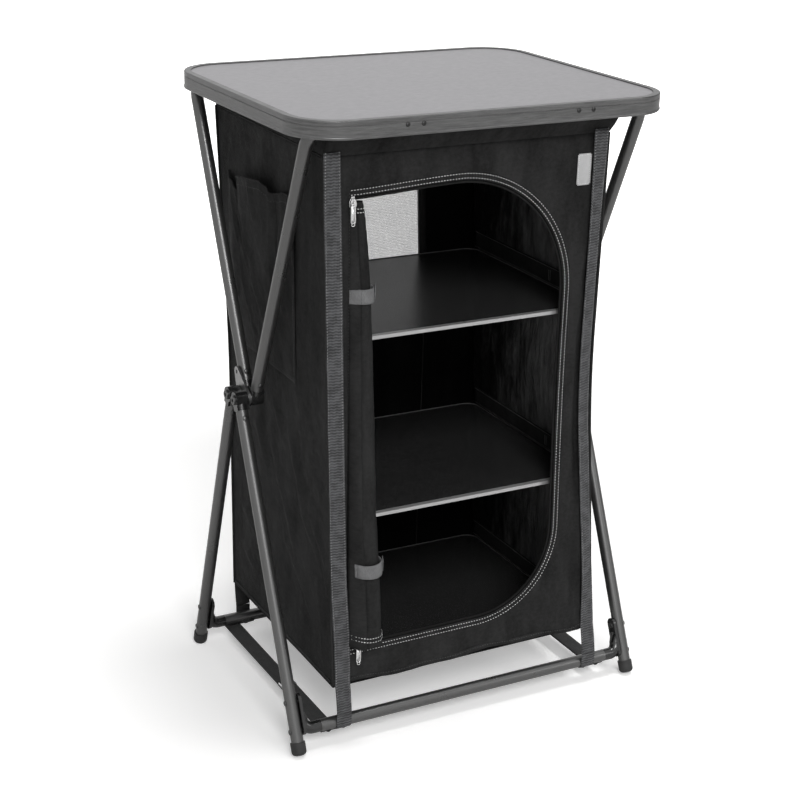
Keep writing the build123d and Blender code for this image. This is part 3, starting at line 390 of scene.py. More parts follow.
MOULDING = plastic("moulding_black", 0.008, 0.016, 0.22, specular=0.6)
FASTENER = metal("fastener_dark", 0.05, 0.1, 0.34, metallic=0.8)
SCREW = metal("screw_black", 0.012, 0.03, 0.35, metallic=0.3)
NICKEL = metal("zip_nickel", 0.6, 0.78, 0.2, metallic=1.0)

BY_SLOT = {
    "panel": panel_material(),
    "edge": edge_material(),
    "tube": metal("tube_coat", grey(0.09, -0.004), grey(0.135, -0.004), 0.3, metallic=0.75, scale=1500,
                  relief=0.00005),
    "moulding": MOULDING,
    "rubber": plastic("rubber_black", 0.02, 0.038, 0.6, relief=0.0001, scale=500, specular=0.25),
    "steel": metal("steel_plated", 0.2, 0.3, 0.32, metallic=0.95, scale=700),
    "fastener": FASTENER,
    "trim": metal("trim_bright", 0.38, 0.48, 0.3, metallic=0.5, stretch=(0.05, 1, 1)),
    "board": board_material(),
    "zip_metal": NICKEL,
}
for part in frame["record"]["subparts"]:
    if part["material_slot"] in BY_SLOT:
        data = NODES[part["node"]].data
        data.materials.clear()
        data.materials.append(SCREW if part["node"] == "edge_screws" else BY_SLOT[part["material_slot"]])


# Meshes --------------------

STRAP_SECTION = ((-0.5, 0), (-0.47, 0.5), (-0.25, 0.575), (0, 0.6), (0.25, 0.575), (0.47, 0.5),
                 (0.5, 0), (0.47, -0.5), (0, -0.5), (-0.47, -0.5))


class Form:
    """Points in millimetres with their faces and flat coordinates."""

    def __init__(self):
        self.points = []
        self.flat = []
        self.faces = []

    def point(self, p, uv=(0, 0)):
        self.points.append(Vector(p))
        self.flat.append(uv)
        return len(self.points) - 1

    def grid(self, nu, nv, place):
        """Surface of place(s, t), which gives a point and its flat coordinates."""
        start = len(self.points)
        for j in range(nv + 1):
            for i in range(nu + 1):
                self.point(*place(i / nu, j / nv))
        for j in range(nv):
            for a in range(start + j * (nu + 1), start + j * (nu + 1) + nu):
                self.faces.append((a, a + 1, a + nu + 2, a + nu + 1))
        return self

    def rings(self, start, count, size, closed=False, caps=True):
        """Faces along count rings of size points; caps close both ends."""
        for k in range(count if closed else count - 1):
            a, b = start + k * size, start + (k + 1) % count * size
            for i in range(size):
                j = (i + 1) % size
                self.faces.append((a + i, a + j, b + j, b + i))
        if caps and not closed:
            self.faces.append(tuple(reversed(range(start, start + size))))
            self.faces.append(tuple(range(start + (count - 1) * size, start + count * size)))
        return self

    def box(self, middle, x, y, z):
        """Box about middle; x, y and z are vectors or lengths, from the middle to its sides."""
        x, y, z = (size if isinstance(size, Vector) else axis * size
                   for size, axis in ((x, RIGHT), (y, -FORWARD), (z, UP)))
        a, b, c, d, e, f, g, h = (
            self.point(middle + x * i + y * j + z * k, (i * x.length, j * y.length))
            for k in (-1, 1) for j, i in ((-1, -1), (-1, 1), (1, 1), (1, -1))
        )
        self.faces += [(a, d, c, b), (e, f, g, h), (a, b, f, e), (b, c, g, f), (c, d, h, g), (d, a, e, h)]

    def tube(self, line, radius, sides=8, closed=False, ends=True):
        """Round tube along a line of points; radius is a number or one per point."""
        start = len(self.points)
        count = len(line)
        side = None
        travelled = 0.0
        for k, p in enumerate(line):
            a = line[k - 1] if k or closed else line[0]
            b = line[(k + 1) % count] if k + 1 < count or closed else line[-1]
            along = (b - a).normalized()
            if side is None:
                side = along.orthogonal().normalized()
            side = (side - along * side.dot(along)).normalized()
            other = along.cross(side)
            travelled += (p - line[k - 1]).length if k else 0
            r = radius[k] if isinstance(radius, (list, tuple)) else radius
            for i in range(sides):
                angle = 2 * pi * i / sides
                self.point(p + side * (cos(angle) * r) + other * (sin(angle) * r), (angle * r, travelled))
        return self.rings(start, count, sides, closed, ends)

    def strap(self, line, across, normal, width, thick=1.5):
        """Strap along a line: across is its width direction, normal the side it shows. Both may be lists."""
        start = len(self.points)
        travelled = 0.0
        for k, p in enumerate(line):
            travelled += (p - line[k - 1]).length if k else 0
            a = across[k] if isinstance(across, list) else across
            n = normal[k] if isinstance(normal, list) else normal
            for x, y in STRAP_SECTION:
                self.point(p + a * (x * width) + n * (y * thick), (x * width, travelled))
        return self.rings(start, len(line), len(STRAP_SECTION))

    def stitches(self, line, up, length=3.0, gap=1.5, width=0.85, height=0.5):
        """Row of raised stitches along a line, each tapered to its ends; up is the way they stand."""
        for middle, along in resample(line, length + gap):
            half = up.cross(along).normalized() * (width / 2)
            tips = [self.point(middle + along * (k * length / 2)) for k in (-1, 1)]
            near, far = (
                [self.point(middle + along * (k * length) + rise) for rise in (half, up * height, -half)]
                for k in (-0.22, 0.22)
            )
            for i in range(2):
                self.faces.append((near[i], near[i + 1], far[i + 1], far[i]))
                self.faces.append((tips[0], near[i + 1], near[i]))
                self.faces.append((tips[1], far[i], far[i + 1]))
        return self


def resample(line, step):
    """Points along a line at even steps, with the direction at each."""
    out = []
    want = 0.0
    walked = 0.0
    for a, b in zip(line, line[1:]):
        length = (b - a).length
        if length < 1e-9:
            continue
        while want <= walked + length:
            out.append((a + (b - a) * ((want - walked) / length), (b - a) / length))
            want += step
        walked += length
    return out


def arc(middle, x, y, degrees):
    """Points about middle, from the tip of x towards the tip of y."""
    return [middle + x * cos(radians(a)) + y * sin(radians(a)) for a in degrees]


def piece(name, form, material, *stands_for, slot="cloth", body=TABLE, soft=True, thick=0.0, smooth=True,
          sheet=None, area=None, inner=None, bevel=None):
    """Object of a form, in the place of the solids that it stands for.

    sheet would hold the flat width and height in millimetres, how it is held, and the pieces it rests on, and area
    its cut area in square metres; neither is used. bevel is a width and a number of segments.
    """
    mesh = bpy.data.meshes.new(name)
    mesh.from_pydata([p * MM for p in form.points], [], form.faces)
    layer = mesh.uv_layers.new(name="flat")
    for loop in mesh.loops:
        u, v = form.flat[loop.vertex_index]
        layer.data[loop.index].uv = (u * MM, v * MM)
    for face in mesh.polygons:
        face.use_smooth = smooth
    mesh.materials.append(material)
    thing = add_object(name, mesh)
    if thick:
        solid = thing.modifiers.new("thickness", "SOLIDIFY")
        solid.thickness = thick * MM
        solid.offset = 0
        if inner:
            mesh.materials.append(inner)
            solid.material_offset = 1
    if bevel:
        rounding = thing.modifiers.new("round", "BEVEL")
        rounding.width, rounding.segments = bevel[0] * MM, bevel[1]
    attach(thing, body)
    if stands_for:
        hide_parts(*stands_for)
    if soft:
        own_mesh(thing)


def ease(x):
    x = max(0.0, min(1.0, x))
    return x * x * (3 - 2 * x)


def bow(x):
    """0 at 0 and 1, and 1 halfway."""
    return sin(pi * x)


def spread(low, high, count):
    """Even steps from low, without high."""
    return [low + (high - low) * k / count for k in range(count)]


def steps(count):
    """Even steps from 0 to 1."""
    return [k / count for k in range(count + 1)]


def inside(x, low, high, soft, soft_high=None):
    """1 well between low and high, 0 at both and beyond them."""
    return ease((x - low) / soft) * ease((high - x) / (soft_high or soft))


def wrinkle(u, v, folds):
    """Height of the folds at (u, v)."""
    total = 0.0
    for width, height, *points in folds:
        best, share, side = 1e9, 0.0, 1.0
        for k, ((ax, ay), (bx, by)) in enumerate(zip(points, points[1:])):
            dx, dy = bx - ax, by - ay
            t = max(0.0, min(1.0, ((u - ax) * dx + (v - ay) * dy) / (dx * dx + dy * dy)))
            ex, ey = u - ax - t * dx, v - ay - t * dy
            d = hypot(ex, ey)
            if d < best:
                best, share, side = d, (k + t) / (len(points) - 1), dx * ey - dy * ex
        if best < 4 * width:
            fade = bow(min(0.97, max(0.03, share))) ** 0.8
            w = width * (0.65 if side > 0 else 1.35)
            total += height * fade * exp(-((best / w) ** 2))
    return total


def ripple(a, b, c, scale, height):
    return height * noise.fractal(vec(a / scale, b / scale, c), 0.6, 2.1, 4)


# Corners of the cupboard at the table, the waist and the hem --------------------

TOP, WAIST, HEM = 905, 520, 100
WAIST_EASE = 70
FRONT_LEFT = ((-255, -210), (-248, -214), (-238, -218))
FRONT_RIGHT = ((207, -206), (203.5, -201), (225, -214))
REAR_RIGHT = ((212, 196), (210, 166), (228, 172))
REAR_LEFT = ((-245, 196), (-240, 164), (-234, 172))
CORNERS = (FRONT_LEFT, FRONT_RIGHT, REAR_RIGHT, REAR_LEFT)
MIDDLE_X, MIDDLE_Z = -16, (TOP + HEM) / 2
OUTER_SKIN = -0.8
SHELVES = (("upper", 636), ("middle", 359), ("floor", 104.6))


def raw_corner(which, z):
    top, waist, hem = (Vector(p) for p in which)
    if z > WAIST:
        return waist + (top - waist) * ((z - WAIST) / (TOP - WAIST))
    return hem + (waist - hem) * ((z - HEM) / (WAIST - HEM))


def corner(which, z):
    """Corner of the cupboard at this height, eased round the waist."""
    around = [raw_corner(which, z + k * WAIST_EASE) for k in (-1, -0.5, 0, 0.5, 1)]
    return sum(around, Vector((0, 0))) / len(around)


def wall(first, second, s, z, out=0.0):
    """Point of a wall, out in front of its outer face."""
    a, b = corner(first, z), corner(second, z)
    along = (b - a).normalized()
    p = a + (b - a) * s
    return vec(p.x + along.y * out, p.y - along.x * out, z)


def wall_at(first, second, x, z, out=0.0):
    """Point of the front or rear wall at this x."""
    a, b = corner(first, z), corner(second, z)
    return wall(first, second, (x - a.x) / (b.x - a.x), z, out)


def front_at(x, z, out=0.0):
    return wall_at(FRONT_LEFT, FRONT_RIGHT, x, z, out)


def side_at(rear, front, y, z, out=0.0):
    """Point of a side wall at this y."""
    a, b = corner(rear, z), corner(front, z)
    p = a + (b - a) * ((y - a.y) / (b.y - a.y))
    return vec(p.x + (out if a.x > 0 else -out), y, z)


# Front panel with the door opening --------------------

DOOR_LEFT, DOOR_RIGHT, DOOR_TOP, DOOR_BOTTOM = -213, 144, 856, 158
DOOR_UPPER_R, DOOR_LOWER_R = 184, 134
DOOR_DROOP = 8
PANEL_HALF = Vector((232, (TOP - HEM) / 2))
PANEL_RINGS = 14
BLEND_START = 0.35


def door_line(grow, turns=26):
    """The opening's edge from its upper left end round to its lower left end, grown by grow."""
    right, top, bottom = DOOR_RIGHT + grow, DOOR_TOP + grow, DOOR_BOTTOM - grow
    upper, lower = DOOR_UPPER_R + grow, DOOR_LOWER_R + grow

    def bend(x, z, r, quarter):
        angles = spread(pi / 2 * quarter, pi / 2 * (quarter - 1), turns)
        return [(x + r * cos(a), z + r * sin(a)) for a in angles]

    line = [(x, top) for x in spread(DOOR_LEFT, right - upper, 12)]
    line += bend(right - upper, top - upper, upper, 1)
    line += [(right, z) for z in spread(top - upper, bottom + lower, 24)]
    line += bend(right - lower, bottom + lower, lower, 0)
    line += [(x, bottom) for x in spread(right - lower, DOOR_LEFT, 12)] + [(DOOR_LEFT, bottom)]
    return [(x, z - DOOR_DROOP * ease((-30 - x) / 200) * ease((z - 780) / 60)) for x, z in line]


FRONT_FOLDS = (
    (6, 2.2, (-112, 897), (-75, 866)), (5, -1.8, (-83, 896), (-50, 866)), (5, 2.4, (-41, 902), (-23, 868)),
    (6, 1.6, (-10, 900), (6, 868)), (7, 2.0, (-190, 896), (-150, 868)),
    (6, 1.8, (-160, 902), (-120, 880), (-90, 876)), (6, 2.6, (30, 900), (70, 874), (104, 852)),
    (6, -2.2, (66, 902), (104, 878), (134, 846)), (5, 1.8, (68, 868), (92, 850)),
    (6, 2.8, (146, 785), (156, 822), (160, 862)), (8, -2.0, (166, 800), (161, 700), (158, 600)),
    (7, 2.2, (178, 750), (172, 680), (174, 590)), (8, 2.4, (170, 620), (168, 480), (178, 330)),
    (6, -1.8, (184, 560), (182, 460), (184, 360)), (3.2, -4.0, (203, 470), (205, 300), (209, 130)),
    (5, 2.4, (196, 440), (196, 300), (200, 150)), (5, 2.6, (203, 160), (190, 125), (186, 104)),
    (7, -2.0, (176, 310), (182, 230), (194, 150)), (7, 2.0, (150, 240), (172, 190), (184, 130)),
    (7, 2.0, (128, 190), (150, 150), (160, 112)), (6, 2.2, (-67, 140), (-59, 98)),
    (6, -1.8, (-10, 146), (4, 98)), (7, 2.0, (58, 145), (69, 99)), (6, -1.8, (108, 150), (118, 100)),
    (7, 1.8, (-150, 145), (-146, 100)), (6, 2.0, (-207, 897), (-214, 862)),
    (5, 1.4, (-228, 700), (-226, 420)), (5, 1.6, (-224, 400), (-222, 160)),
)


def front_relief(x, z):
    """Folds of the front, which lies flat under the tag."""
    height = wrinkle(x, z, FRONT_FOLDS) * 1.9 + ripple(x, z, 3.1, 75, 1.3)
    near_tag = ease((x - 134) / 18) * ease((z - 715) / 40)
    near_hem = 0.4 + 0.6 * ease((z - HEM) / 25)
    return max(-3.0, min(4.0, height * 1.6)) * (1 - near_tag) * ease((TOP - z) / 30) * near_hem


def hem_height(x):
    """Front hem, which sags a little between its folds."""
    return HEM + 2.2 * sin(x / 46.0 + 0.6) + 1.5 * sin(x / 17.0) + 5.0 * ease((x - 196) / 18)


def front_panel():
    """Rings of points from the door opening out to the panel's rim."""
    inner = [Vector(p) for p in door_line(0)]
    inner += [Vector((DOOR_LEFT, z)) for z in spread(DOOR_BOTTOM, DOOR_TOP, 40)[1:]]
    count = len(inner)
    middle = Vector(((DOOR_LEFT + DOOR_RIGHT) / 2, (DOOR_TOP + DOOR_BOTTOM) / 2))
    centre = Vector((MIDDLE_X, MIDDLE_Z))
    outer = []
    for p in inner:
        d = p - middle
        outer.append(middle + d * min(
            (copysign(PANEL_HALF[i], d[i]) + centre[i] - middle[i]) / d[i] for i in (0, 1) if abs(d[i]) > 1e-6
        ))
    for sx in (-1, 1):
        for sy in (-1, 1):
            target = centre + Vector((PANEL_HALF.x * sx, PANEL_HALF.y * sy))
            outer[min(range(count), key=lambda k: (outer[k] - target).length)] = target
    form = Form()
    for r in range(PANEL_RINGS + 1):
        share = (r / PANEL_RINGS) ** 1.25
        blend = max(0.0, (share - BLEND_START) / (1 - BLEND_START))
        for k in range(count):
            p = inner[k].lerp(outer[k], share)
            z = hem_height(p.x) if r == PANEL_RINGS and abs(p.y - HEM) < 1 else p.y
            s = (p.x - centre.x + PANEL_HALF.x) / (2 * PANEL_HALF.x)
            a, b = corner(FRONT_LEFT, z), corner(FRONT_RIGHT, z)
            x = p.x * (1 - blend) + (a.x + (b.x - a.x) * s) * blend
            form.point(front_at(x, z, OUTER_SKIN + front_relief(x, z) * ease(share * 3)), (x, z))
    form.rings(0, PANEL_RINGS + 1, count, caps=False)
    area = 0.463 * 0.805 - 0.357 * 0.698 + 0.215 * (0.184 ** 2 + 0.134 ** 2)
    piece("front_cloth", form, CLOTH, "front_panel", thick=1.3, area=area,
          sheet=(463, 805, "hung", "collar_cloth", "corner_tape_front_left", "corner_tape_front_right"))


def ribbon(outer, inner, rows, lift, flat):
    """Band on the front between two lines: lift is its height at t across it, flat its flat coordinates."""
    travelled = [0.0]
    for a, b in zip(outer, outer[1:]):
        travelled.append(travelled[-1] + dist(a, b))
    last = len(outer) - 1

    def place(s, t):
        k = round(s * last)
        x, z = (o + (i - o) * t for o, i in zip(outer[k], inner[k]))
        return front_at(x, z, lift(t)), flat(travelled[k], t)

    return Form().grid(last, rows, place)


def door_hem():
    """Flap sewn over the zip: a flat band round the opening with a rolled inner edge."""
    form = ribbon(door_line(9.5), door_line(-1.5), 6,
                  lambda t: 0.7 + 0.35 * bow(t) - (1.2 if t in (0, 1) else 0),
                  lambda along, t: (along, t * 11))
    piece("door_hem", form, CLOTH, thick=0.8, sheet=(1290, 11, "stretched", "front_cloth"))
    white, dark = Form(), Form()
    for grow in (8.2, 1.6):
        white.stitches([front_at(x, z, 1.5) for x, z in door_line(grow)], FORWARD, 2.4, 2.3, 1.0, 0.6)
    piece("door_stitches", white, THREAD_WHITE)
    for x in (DOOR_LEFT - 3, DOOR_LEFT + 2.5):
        line = [front_at(x, z, 1.2) for z in range(DOOR_BOTTOM + 4, DOOR_TOP - 2, 6)]
        dark.stitches(line, FORWARD, 3.2, 1.4, 0.8, 0.35)
    piece("door_seam_stitches", dark, THREAD_BLACK)


def zip_band():
    form = ribbon(door_line(8), door_line(-5), 1, lambda t: -2.4, lambda along, t: (13 * t, along))
    piece("zip_cloth", form, CLOTH_SHADED, "zip_tape", thick=0.7, sheet=(1280, 13, "stretched", "front_cloth"))
    coil = Form()
    for p, along in resample([front_at(x, z, -1.6) for x, z in door_line(-4.4, turns=40)], 1.6):
        coil.box(p, along * 0.5, FORWARD.cross(along).normalized() * 1.5, FORWARD * 0.8)
    piece("zip_teeth", coil, ZIP_TEETH)


SLIDER_PROFILE = ((-5.5, 3.0), (-4.0, 4.0), (0.0, 4.3), (3.0, 3.6), (5.5, 2.2))
PULL_LONG, PULL_HALF = 22, 3.3


def zip_sliders():
    """Sliders with their pulls, which hang from a bridge and end in a ring."""
    rim = [(-w, h) for h, w in SLIDER_PROFILE] + [(w, h) for h, w in reversed(SLIDER_PROFILE)]
    half, long = PULL_HALF, PULL_LONG
    loop = [(half, -2), (half, -2 - long), (half - 0.8, -3 - long), (0.8 - half, -3 - long),
            (-half, -2 - long), (-half, -2), (0.8 - half, -1), (half - 0.8, -1)]
    for name, x, z, lean in (("upper", -212, 839, -1.6), ("lower", -199, 164, 0)):
        middle = front_at(x, z, 3.4)
        body = Form()
        for level, depth in ((0.0, 1.0), (2.6, 0.85)):
            start = len(body.points)
            for y in (0.5, 2.3):
                for w, h in rim:
                    body.point(middle + vec(w * depth * 1.3, y - level, h * depth * 1.2), (w, h))
            body.rings(start, 2, len(rim))
        body.tube(arc(middle + FORWARD * 2.2, UP * 3.6, FORWARD * 1.9, range(0, 181, 15)), 0.95)
        piece(f"{name}_slider_metal", body, NICKEL, f"{name}_zip_slider", slot="zip_metal",
              body=f"{name}_zip_runner", soft=False, smooth=False, bevel=(0.4, 2))
        top = middle + vec(lean, -4.6, -2)
        pull = Form()
        pull.tube(arc(top, RIGHT * 1.7, UP * 1.7, range(0, 360, 24)), 0.6, sides=7, closed=True)
        pull.tube([top + vec(a, 0, b) for a, b in loop], 0.62, sides=7, closed=True)
        pull.box(top + vec(0, 0.1, -2 - long / 2), half - 0.3, 0.35, long / 2)
        pull.tube([top + vec(0, -0.4, -3), top + vec(0, -0.6, -1 - long)], 0.55, sides=6)
        ring = arc(top - UP * (5.2 + long), RIGHT * 2.3, UP * 2.1, range(0, 360, 20))
        pull.tube(ring, 0.6, sides=7, closed=True)
        if name == "upper":
            stop = Form()
            stop.box(middle + vec(0.5, 2.2, 8), 2.6, 0.9, 1)
            piece("upper_stop_metal", stop, NICKEL, "upper_zip_stop", slot="zip_metal", soft=False, smooth=False)
        piece(f"{name}_pull_metal", pull, NICKEL, f"{name}_zip_pull", slot="zip_metal", body=f"{name}_zip_handle",
              soft=False)


# Side walls, rear wall, bottom and collar --------------------

LEFT_FOLDS = (
    (10, 3.0, (66, 440), (51, 417), (30, 370)), (11, 4.2, (15, 429), (-26, 365), (-63, 313), (-90, 250)),
    (10, 4.0, (-64, 481), (-85, 417), (-122, 337), (-185, 282)), (9, 3.2, (136, 268), (95, 245), (58, 229)),
    (9, 2.8, (133, 197), (105, 180), (80, 166)), (10, 3.6, (-48, 270), (-122, 212), (-158, 170)),
    (12, -2.0, (-11, 364), (-80, 390), (-150, 388), (-198, 372)),
    (9, 3.2, (-129, 364), (-170, 330), (-200, 292)), (9, 3.0, (100, 343), (85, 300), (69, 268)),
    (8, 2.6, (-5, 497), (-25, 465), (-41, 436)), (16, 2.4, (-100, 620), (-110, 520), (-130, 420)),
    (20, -2.6, (-150, 860), (-150, 700), (-160, 560)), (14, -2.4, (40, 520), (30, 440), (0, 330)),
    (14, 2.6, (-170, 250), (-185, 180), (-190, 120)), (12, -2.0, (120, 470), (118, 380), (110, 300)),
    (13, 2.4, (20, 230), (-20, 170), (-40, 120)), (12, -1.6, (150, 900), (60, 878), (-60, 884)),
)
RIGHT_FOLDS = (
    (11, 4.0, (-150, 860), (-140, 760), (-150, 640)), (12, -3.4, (-100, 840), (-95, 740), (-110, 650)),
    (10, 3.4, (-60, 860), (-50, 740), (-55, 650)), (14, -3.0, (-10, 850), (0, 760), (-20, 660)),
    (14, 3.2, (60, 860), (70, 740), (60, 640)), (12, -3.6, (-160, 600), (-145, 520), (-150, 400)),
    (12, 3.8, (-110, 610), (-120, 500), (-90, 390)), (14, -3.0, (-40, 600), (-30, 500), (-60, 400)),
    (14, 3.4, (40, 590), (20, 480), (60, 400)), (12, 3.8, (-180, 330), (-150, 260), (-120, 200)),
    (12, -3.2, (-130, 340), (-100, 250), (-60, 180)), (13, 3.4, (-40, 330), (-10, 240), (30, 160)),
    (16, 3.0, (120, 500), (90, 380), (130, 240)), (13, -2.6, (100, 330), (70, 220), (110, 130)),
    (14, -2.6, (130, 820), (120, 700), (140, 560)),
)
REAR_FOLDS = (
    (18, 3.0, (-150, 600), (-120, 480), (-140, 330)), (20, -3.0, (-60, 620), (-40, 470), (-70, 330)),
    (18, 3.2, (40, 610), (60, 480), (30, 320)), (18, -2.6, (130, 620), (150, 460), (120, 300)),
    (18, 2.8, (-100, 320), (-60, 220), (-90, 130)), (18, -2.8, (80, 330), (40, 220), (90, 140)),
    (16, 2.6, (-190, 520), (-170, 360), (-190, 200)), (16, 2.6, (170, 560), (160, 400), (180, 220)),
)
SHELF_REACH, SHELF_MARGIN = 120, 1.8


def shelf_edges():
    """Height of each shelf, with the far corner of its board."""
    return [(top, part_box(f"{name}_shelf")[1] / MM) for name, top in SHELVES]


def clear_of_shelves(p, axis, edges):
    """Point of a wall, pushed outward where the edge of a shelf stands behind it."""
    for top, far in edges:
        near = 1 - ease((abs(p.z - top + 3) - 8) / SHELF_REACH)
        if axis == 0:
            near *= ease((p.y + 208) / 16)
        p[axis] += max(0, far[axis] + SHELF_MARGIN - p[axis]) * near
    return p


def side_wall(side, rear, front, folds, rows, seed, inner):
    edges = shelf_edges() if side == "right" else []

    def relief(y, z):
        shelf = 1.0
        for _, level in SHELVES[:2]:
            shelf *= 0.35 + 0.65 * ease(abs(z - level) / 34)
        sag = -2.0 * bow(ease((y + 210) / 380))
        height = wrinkle(y, z, folds) + ripple(y, z, seed, 90, 1.3) + sag
        return height * inside(z, HEM, TOP, 30, 40) * inside(y, -208, 166, 18) * shelf

    def place(s, t):
        z = HEM + (TOP - HEM) * t
        a, b = corner(rear, z), corner(front, z)
        y = a.y + (b.y - a.y) * (1 - s if side == "right" else s)
        return clear_of_shelves(side_at(rear, front, y, z, OUTER_SKIN + relief(y, z)), 0, edges), (y, z)

    piece(f"{side}_cloth", Form().grid(84, rows, place), CLOTH, f"{side}_panel", thick=1.2, inner=inner,
          sheet=(395, 805, "hung", "collar_cloth"))


WINDOW = (-139, 105, 634, 860)
WINDOW_COLUMNS, WINDOW_ROWS, MARGIN_COLUMNS = 24, 22, 10
MESH_Y = -1.9


def rear_wall():
    """Rear wall with its window, whose faces are left out."""
    left, right, low, high = WINDOW
    edges = shelf_edges()

    def point(x, z):
        hole = ease(max(left - x, x - right, low - z, z - high, 0) / 40)
        height = wrinkle(x, z, REAR_FOLDS) + ripple(x, z, 7.7, 95, 2.2)
        relief = height * inside(z, HEM, TOP, 30) * inside(x, -236, 208, 20) * hole
        return clear_of_shelves(wall_at(REAR_RIGHT, REAR_LEFT, x, z, OUTER_SKIN + relief), 1, edges)

    def along(points, y):
        return [point(x, z) + vec(0, y, 0) for x, z in points]

    zs = spread(HEM, low, 64) + spread(low, high, WINDOW_ROWS) + spread(high, TOP, 6) + [TOP]
    form = Form()
    for z in zs:
        ends = corner(REAR_LEFT, z).x, corner(REAR_RIGHT, z).x
        row = spread(ends[0], left, MARGIN_COLUMNS) + spread(left, right, WINDOW_COLUMNS)
        row += spread(right, ends[1], MARGIN_COLUMNS) + [ends[1]]
        for x in row:
            form.point(point(x, z), (x, z))
    width = len(row)
    for j in range(len(zs) - 1):
        for i in range(width - 1):
            in_window = MARGIN_COLUMNS <= i < MARGIN_COLUMNS + WINDOW_COLUMNS and 64 <= j < 64 + WINDOW_ROWS
            if not in_window:
                a = j * width + i
                form.faces.append((a, a + width, a + width + 1, a + 1))
    piece("rear_cloth", form, CLOTH, "rear_panel", thick=1.2, inner=INNER_SHADED, area=0.452 * 0.805 - 0.244 * 0.226,
          sheet=(455, 805, "hung", "collar_cloth"))
    binding = Form()
    for x0, x1, z0, z1 in (
        (left - 12, right + 12, high - 1, high + 11), (left - 12, right + 12, low - 11, low + 1),
        (left - 12, left + 1, low, high), (right - 1, right + 12, low, high),
    ):
        def place(s, t):
            x, z = x0 + (x1 - x0) * s, z0 + (z1 - z0) * t
            return point(x, z) + vec(0, y, 0), (x, z)

        for y in (1.8, -2.4):
            binding.grid(max(2, int((x1 - x0) / 12)), max(2, int((z1 - z0) / 12)), place)
    piece("window_binding", binding, BINDING, thick=0.5, sheet=(1000, 24, "stretched", "rear_cloth"))
    threads = Form()
    x = left - 4
    while x < right + 4:
        threads.tube(along([(x, z) for z in range(low - 5, high + 6, 24)], MESH_Y), 0.6, sides=3, ends=False)
        x += 1.6
    z = low - 3
    while z < high + 4:
        line = along([(x, z) for x in range(left - 5, right + 6, 25)], MESH_Y - 0.3)
        threads.tube(line, 0.3, sides=3, ends=False)
        z += 2.6
    piece("mesh_threads", threads, MESH_THREAD, "mesh_window", slot="mesh")
    seams = Form()
    for x in (right + 3, left - 3):
        seams.stitches(along([(x, z) for z in range(low - 6, high + 8, 6)], 1.9), -FORWARD)
    for z in (low - 6, high + 6):
        seams.stitches(along([(x, z) for x in range(left, right, 6)], 1.9), -FORWARD)
    piece("window_stitches", seams, THREAD_BLACK)
    fold = Form().tube(along([(right + 6, z) for z in range(HEM + 6, low - 8, 14)], -2.4), 1.1, sides=6)
    piece("rear_inner_seam", fold, BINDING)


def bottom_cloth():
    corners = [raw_corner(c, HEM) for c in CORNERS]

    def place(s, t):
        p = corners[0].lerp(corners[1], s).lerp(corners[3].lerp(corners[2], s), t)
        dip = 1.4 * bow(s) * bow(t)
        return vec(p.x, p.y, HEM - 0.6 - dip + ripple(p.x, p.y, 1.2, 80, 0.4)), (p.x, p.y)

    piece("bottom_cloth", Form().grid(24, 20, place), CLOTH_SHADED, "bottom_panel", thick=1.0,
          sheet=(463, 388, "stretched", "front_cloth", "rear_cloth"))


COLLAR_TOP = [Vector(p) for p in ((-248, -213), (221, -212), (224, 205), (-243, 205))]
COLLAR_HIGH = 24.5
COLLAR_STEPS = 240


def collar():
    """Collar between the walls and the table, with piping; its front has no seam cord."""
    foot = [raw_corner(c, TOP) for c in CORNERS]

    def loop(corners, share):
        k = int(share * 4)
        return corners[k].lerp(corners[(k + 1) % 4], share * 4 - k)

    def place(s, t):
        p = loop(foot, s % 1).lerp(loop(COLLAR_TOP, s % 1), t)
        bulge = 1.2 * bow(t) + 0.8 * sin(s * 96) * t + ripple(s * 900, t * 20, 5.5, 60, 1.2)
        if 0.01 < s % 1 < 0.24:
            bulge = bulge * ease(t) - 0.5 * (1 - t)
        p += (p - Vector((MIDDLE_X, -3))).normalized() * bulge * 0.8
        z = TOP + COLLAR_HIGH * t
        return vec(p.x, p.y, z), (s * 1760, z)

    def ring(steps, t, z):
        return [vec(*place(k / COLLAR_STEPS, t)[0].xy, z) for k in steps]

    piece("collar_cloth", Form().grid(COLLAR_STEPS, 6, place), CLOTH, "collar", thick=1.2,
          sheet=(1750, 27, "hung", "table_edge"))
    cords = Form().tube(ring(range(COLLAR_STEPS), 0.97, TOP + 23), 2.2, closed=True)
    cords.tube(ring(range(61, COLLAR_STEPS + 1), 0.0, TOP + 0.5), 1.5, sides=6)
    piece("collar_piping", cords, BINDING)


def hems():
    """Folded hem round the foot of the walls, and its stitches."""
    form, dark = Form(), Form()
    for first, second in zip(CORNERS, CORNERS[1:] + CORNERS[:1]):
        def place(s, t):
            z = HEM
            if first is FRONT_LEFT:
                a, b = corner(first, HEM), corner(second, HEM)
                z = hem_height(a.x + (b.x - a.x) * s)
            out = 0.5 + 0.5 * bow(min(1, t * 1.2)) - (0.9 if t in (0, 1) else 0)
            return wall(first, second, s, z + 9 * t, out), (s * 450, z + 9 * t)

        form.grid(48, 4, place)
        out = wall(first, second, 0.5, HEM, 1) - wall(first, second, 0.5, HEM)
        dark.stitches([place(0.02 + 0.96 * s, 0.72)[0] + out * 0.5 for s in steps(40)], out.normalized())
    piece("foot_hem", form, CLOTH, thick=0.6, sheet=(1700, 10, "stretched", "front_cloth", "rear_cloth"))
    piece("foot_hem_stitches", dark, THREAD_BLACK)


# Webbing --------------------

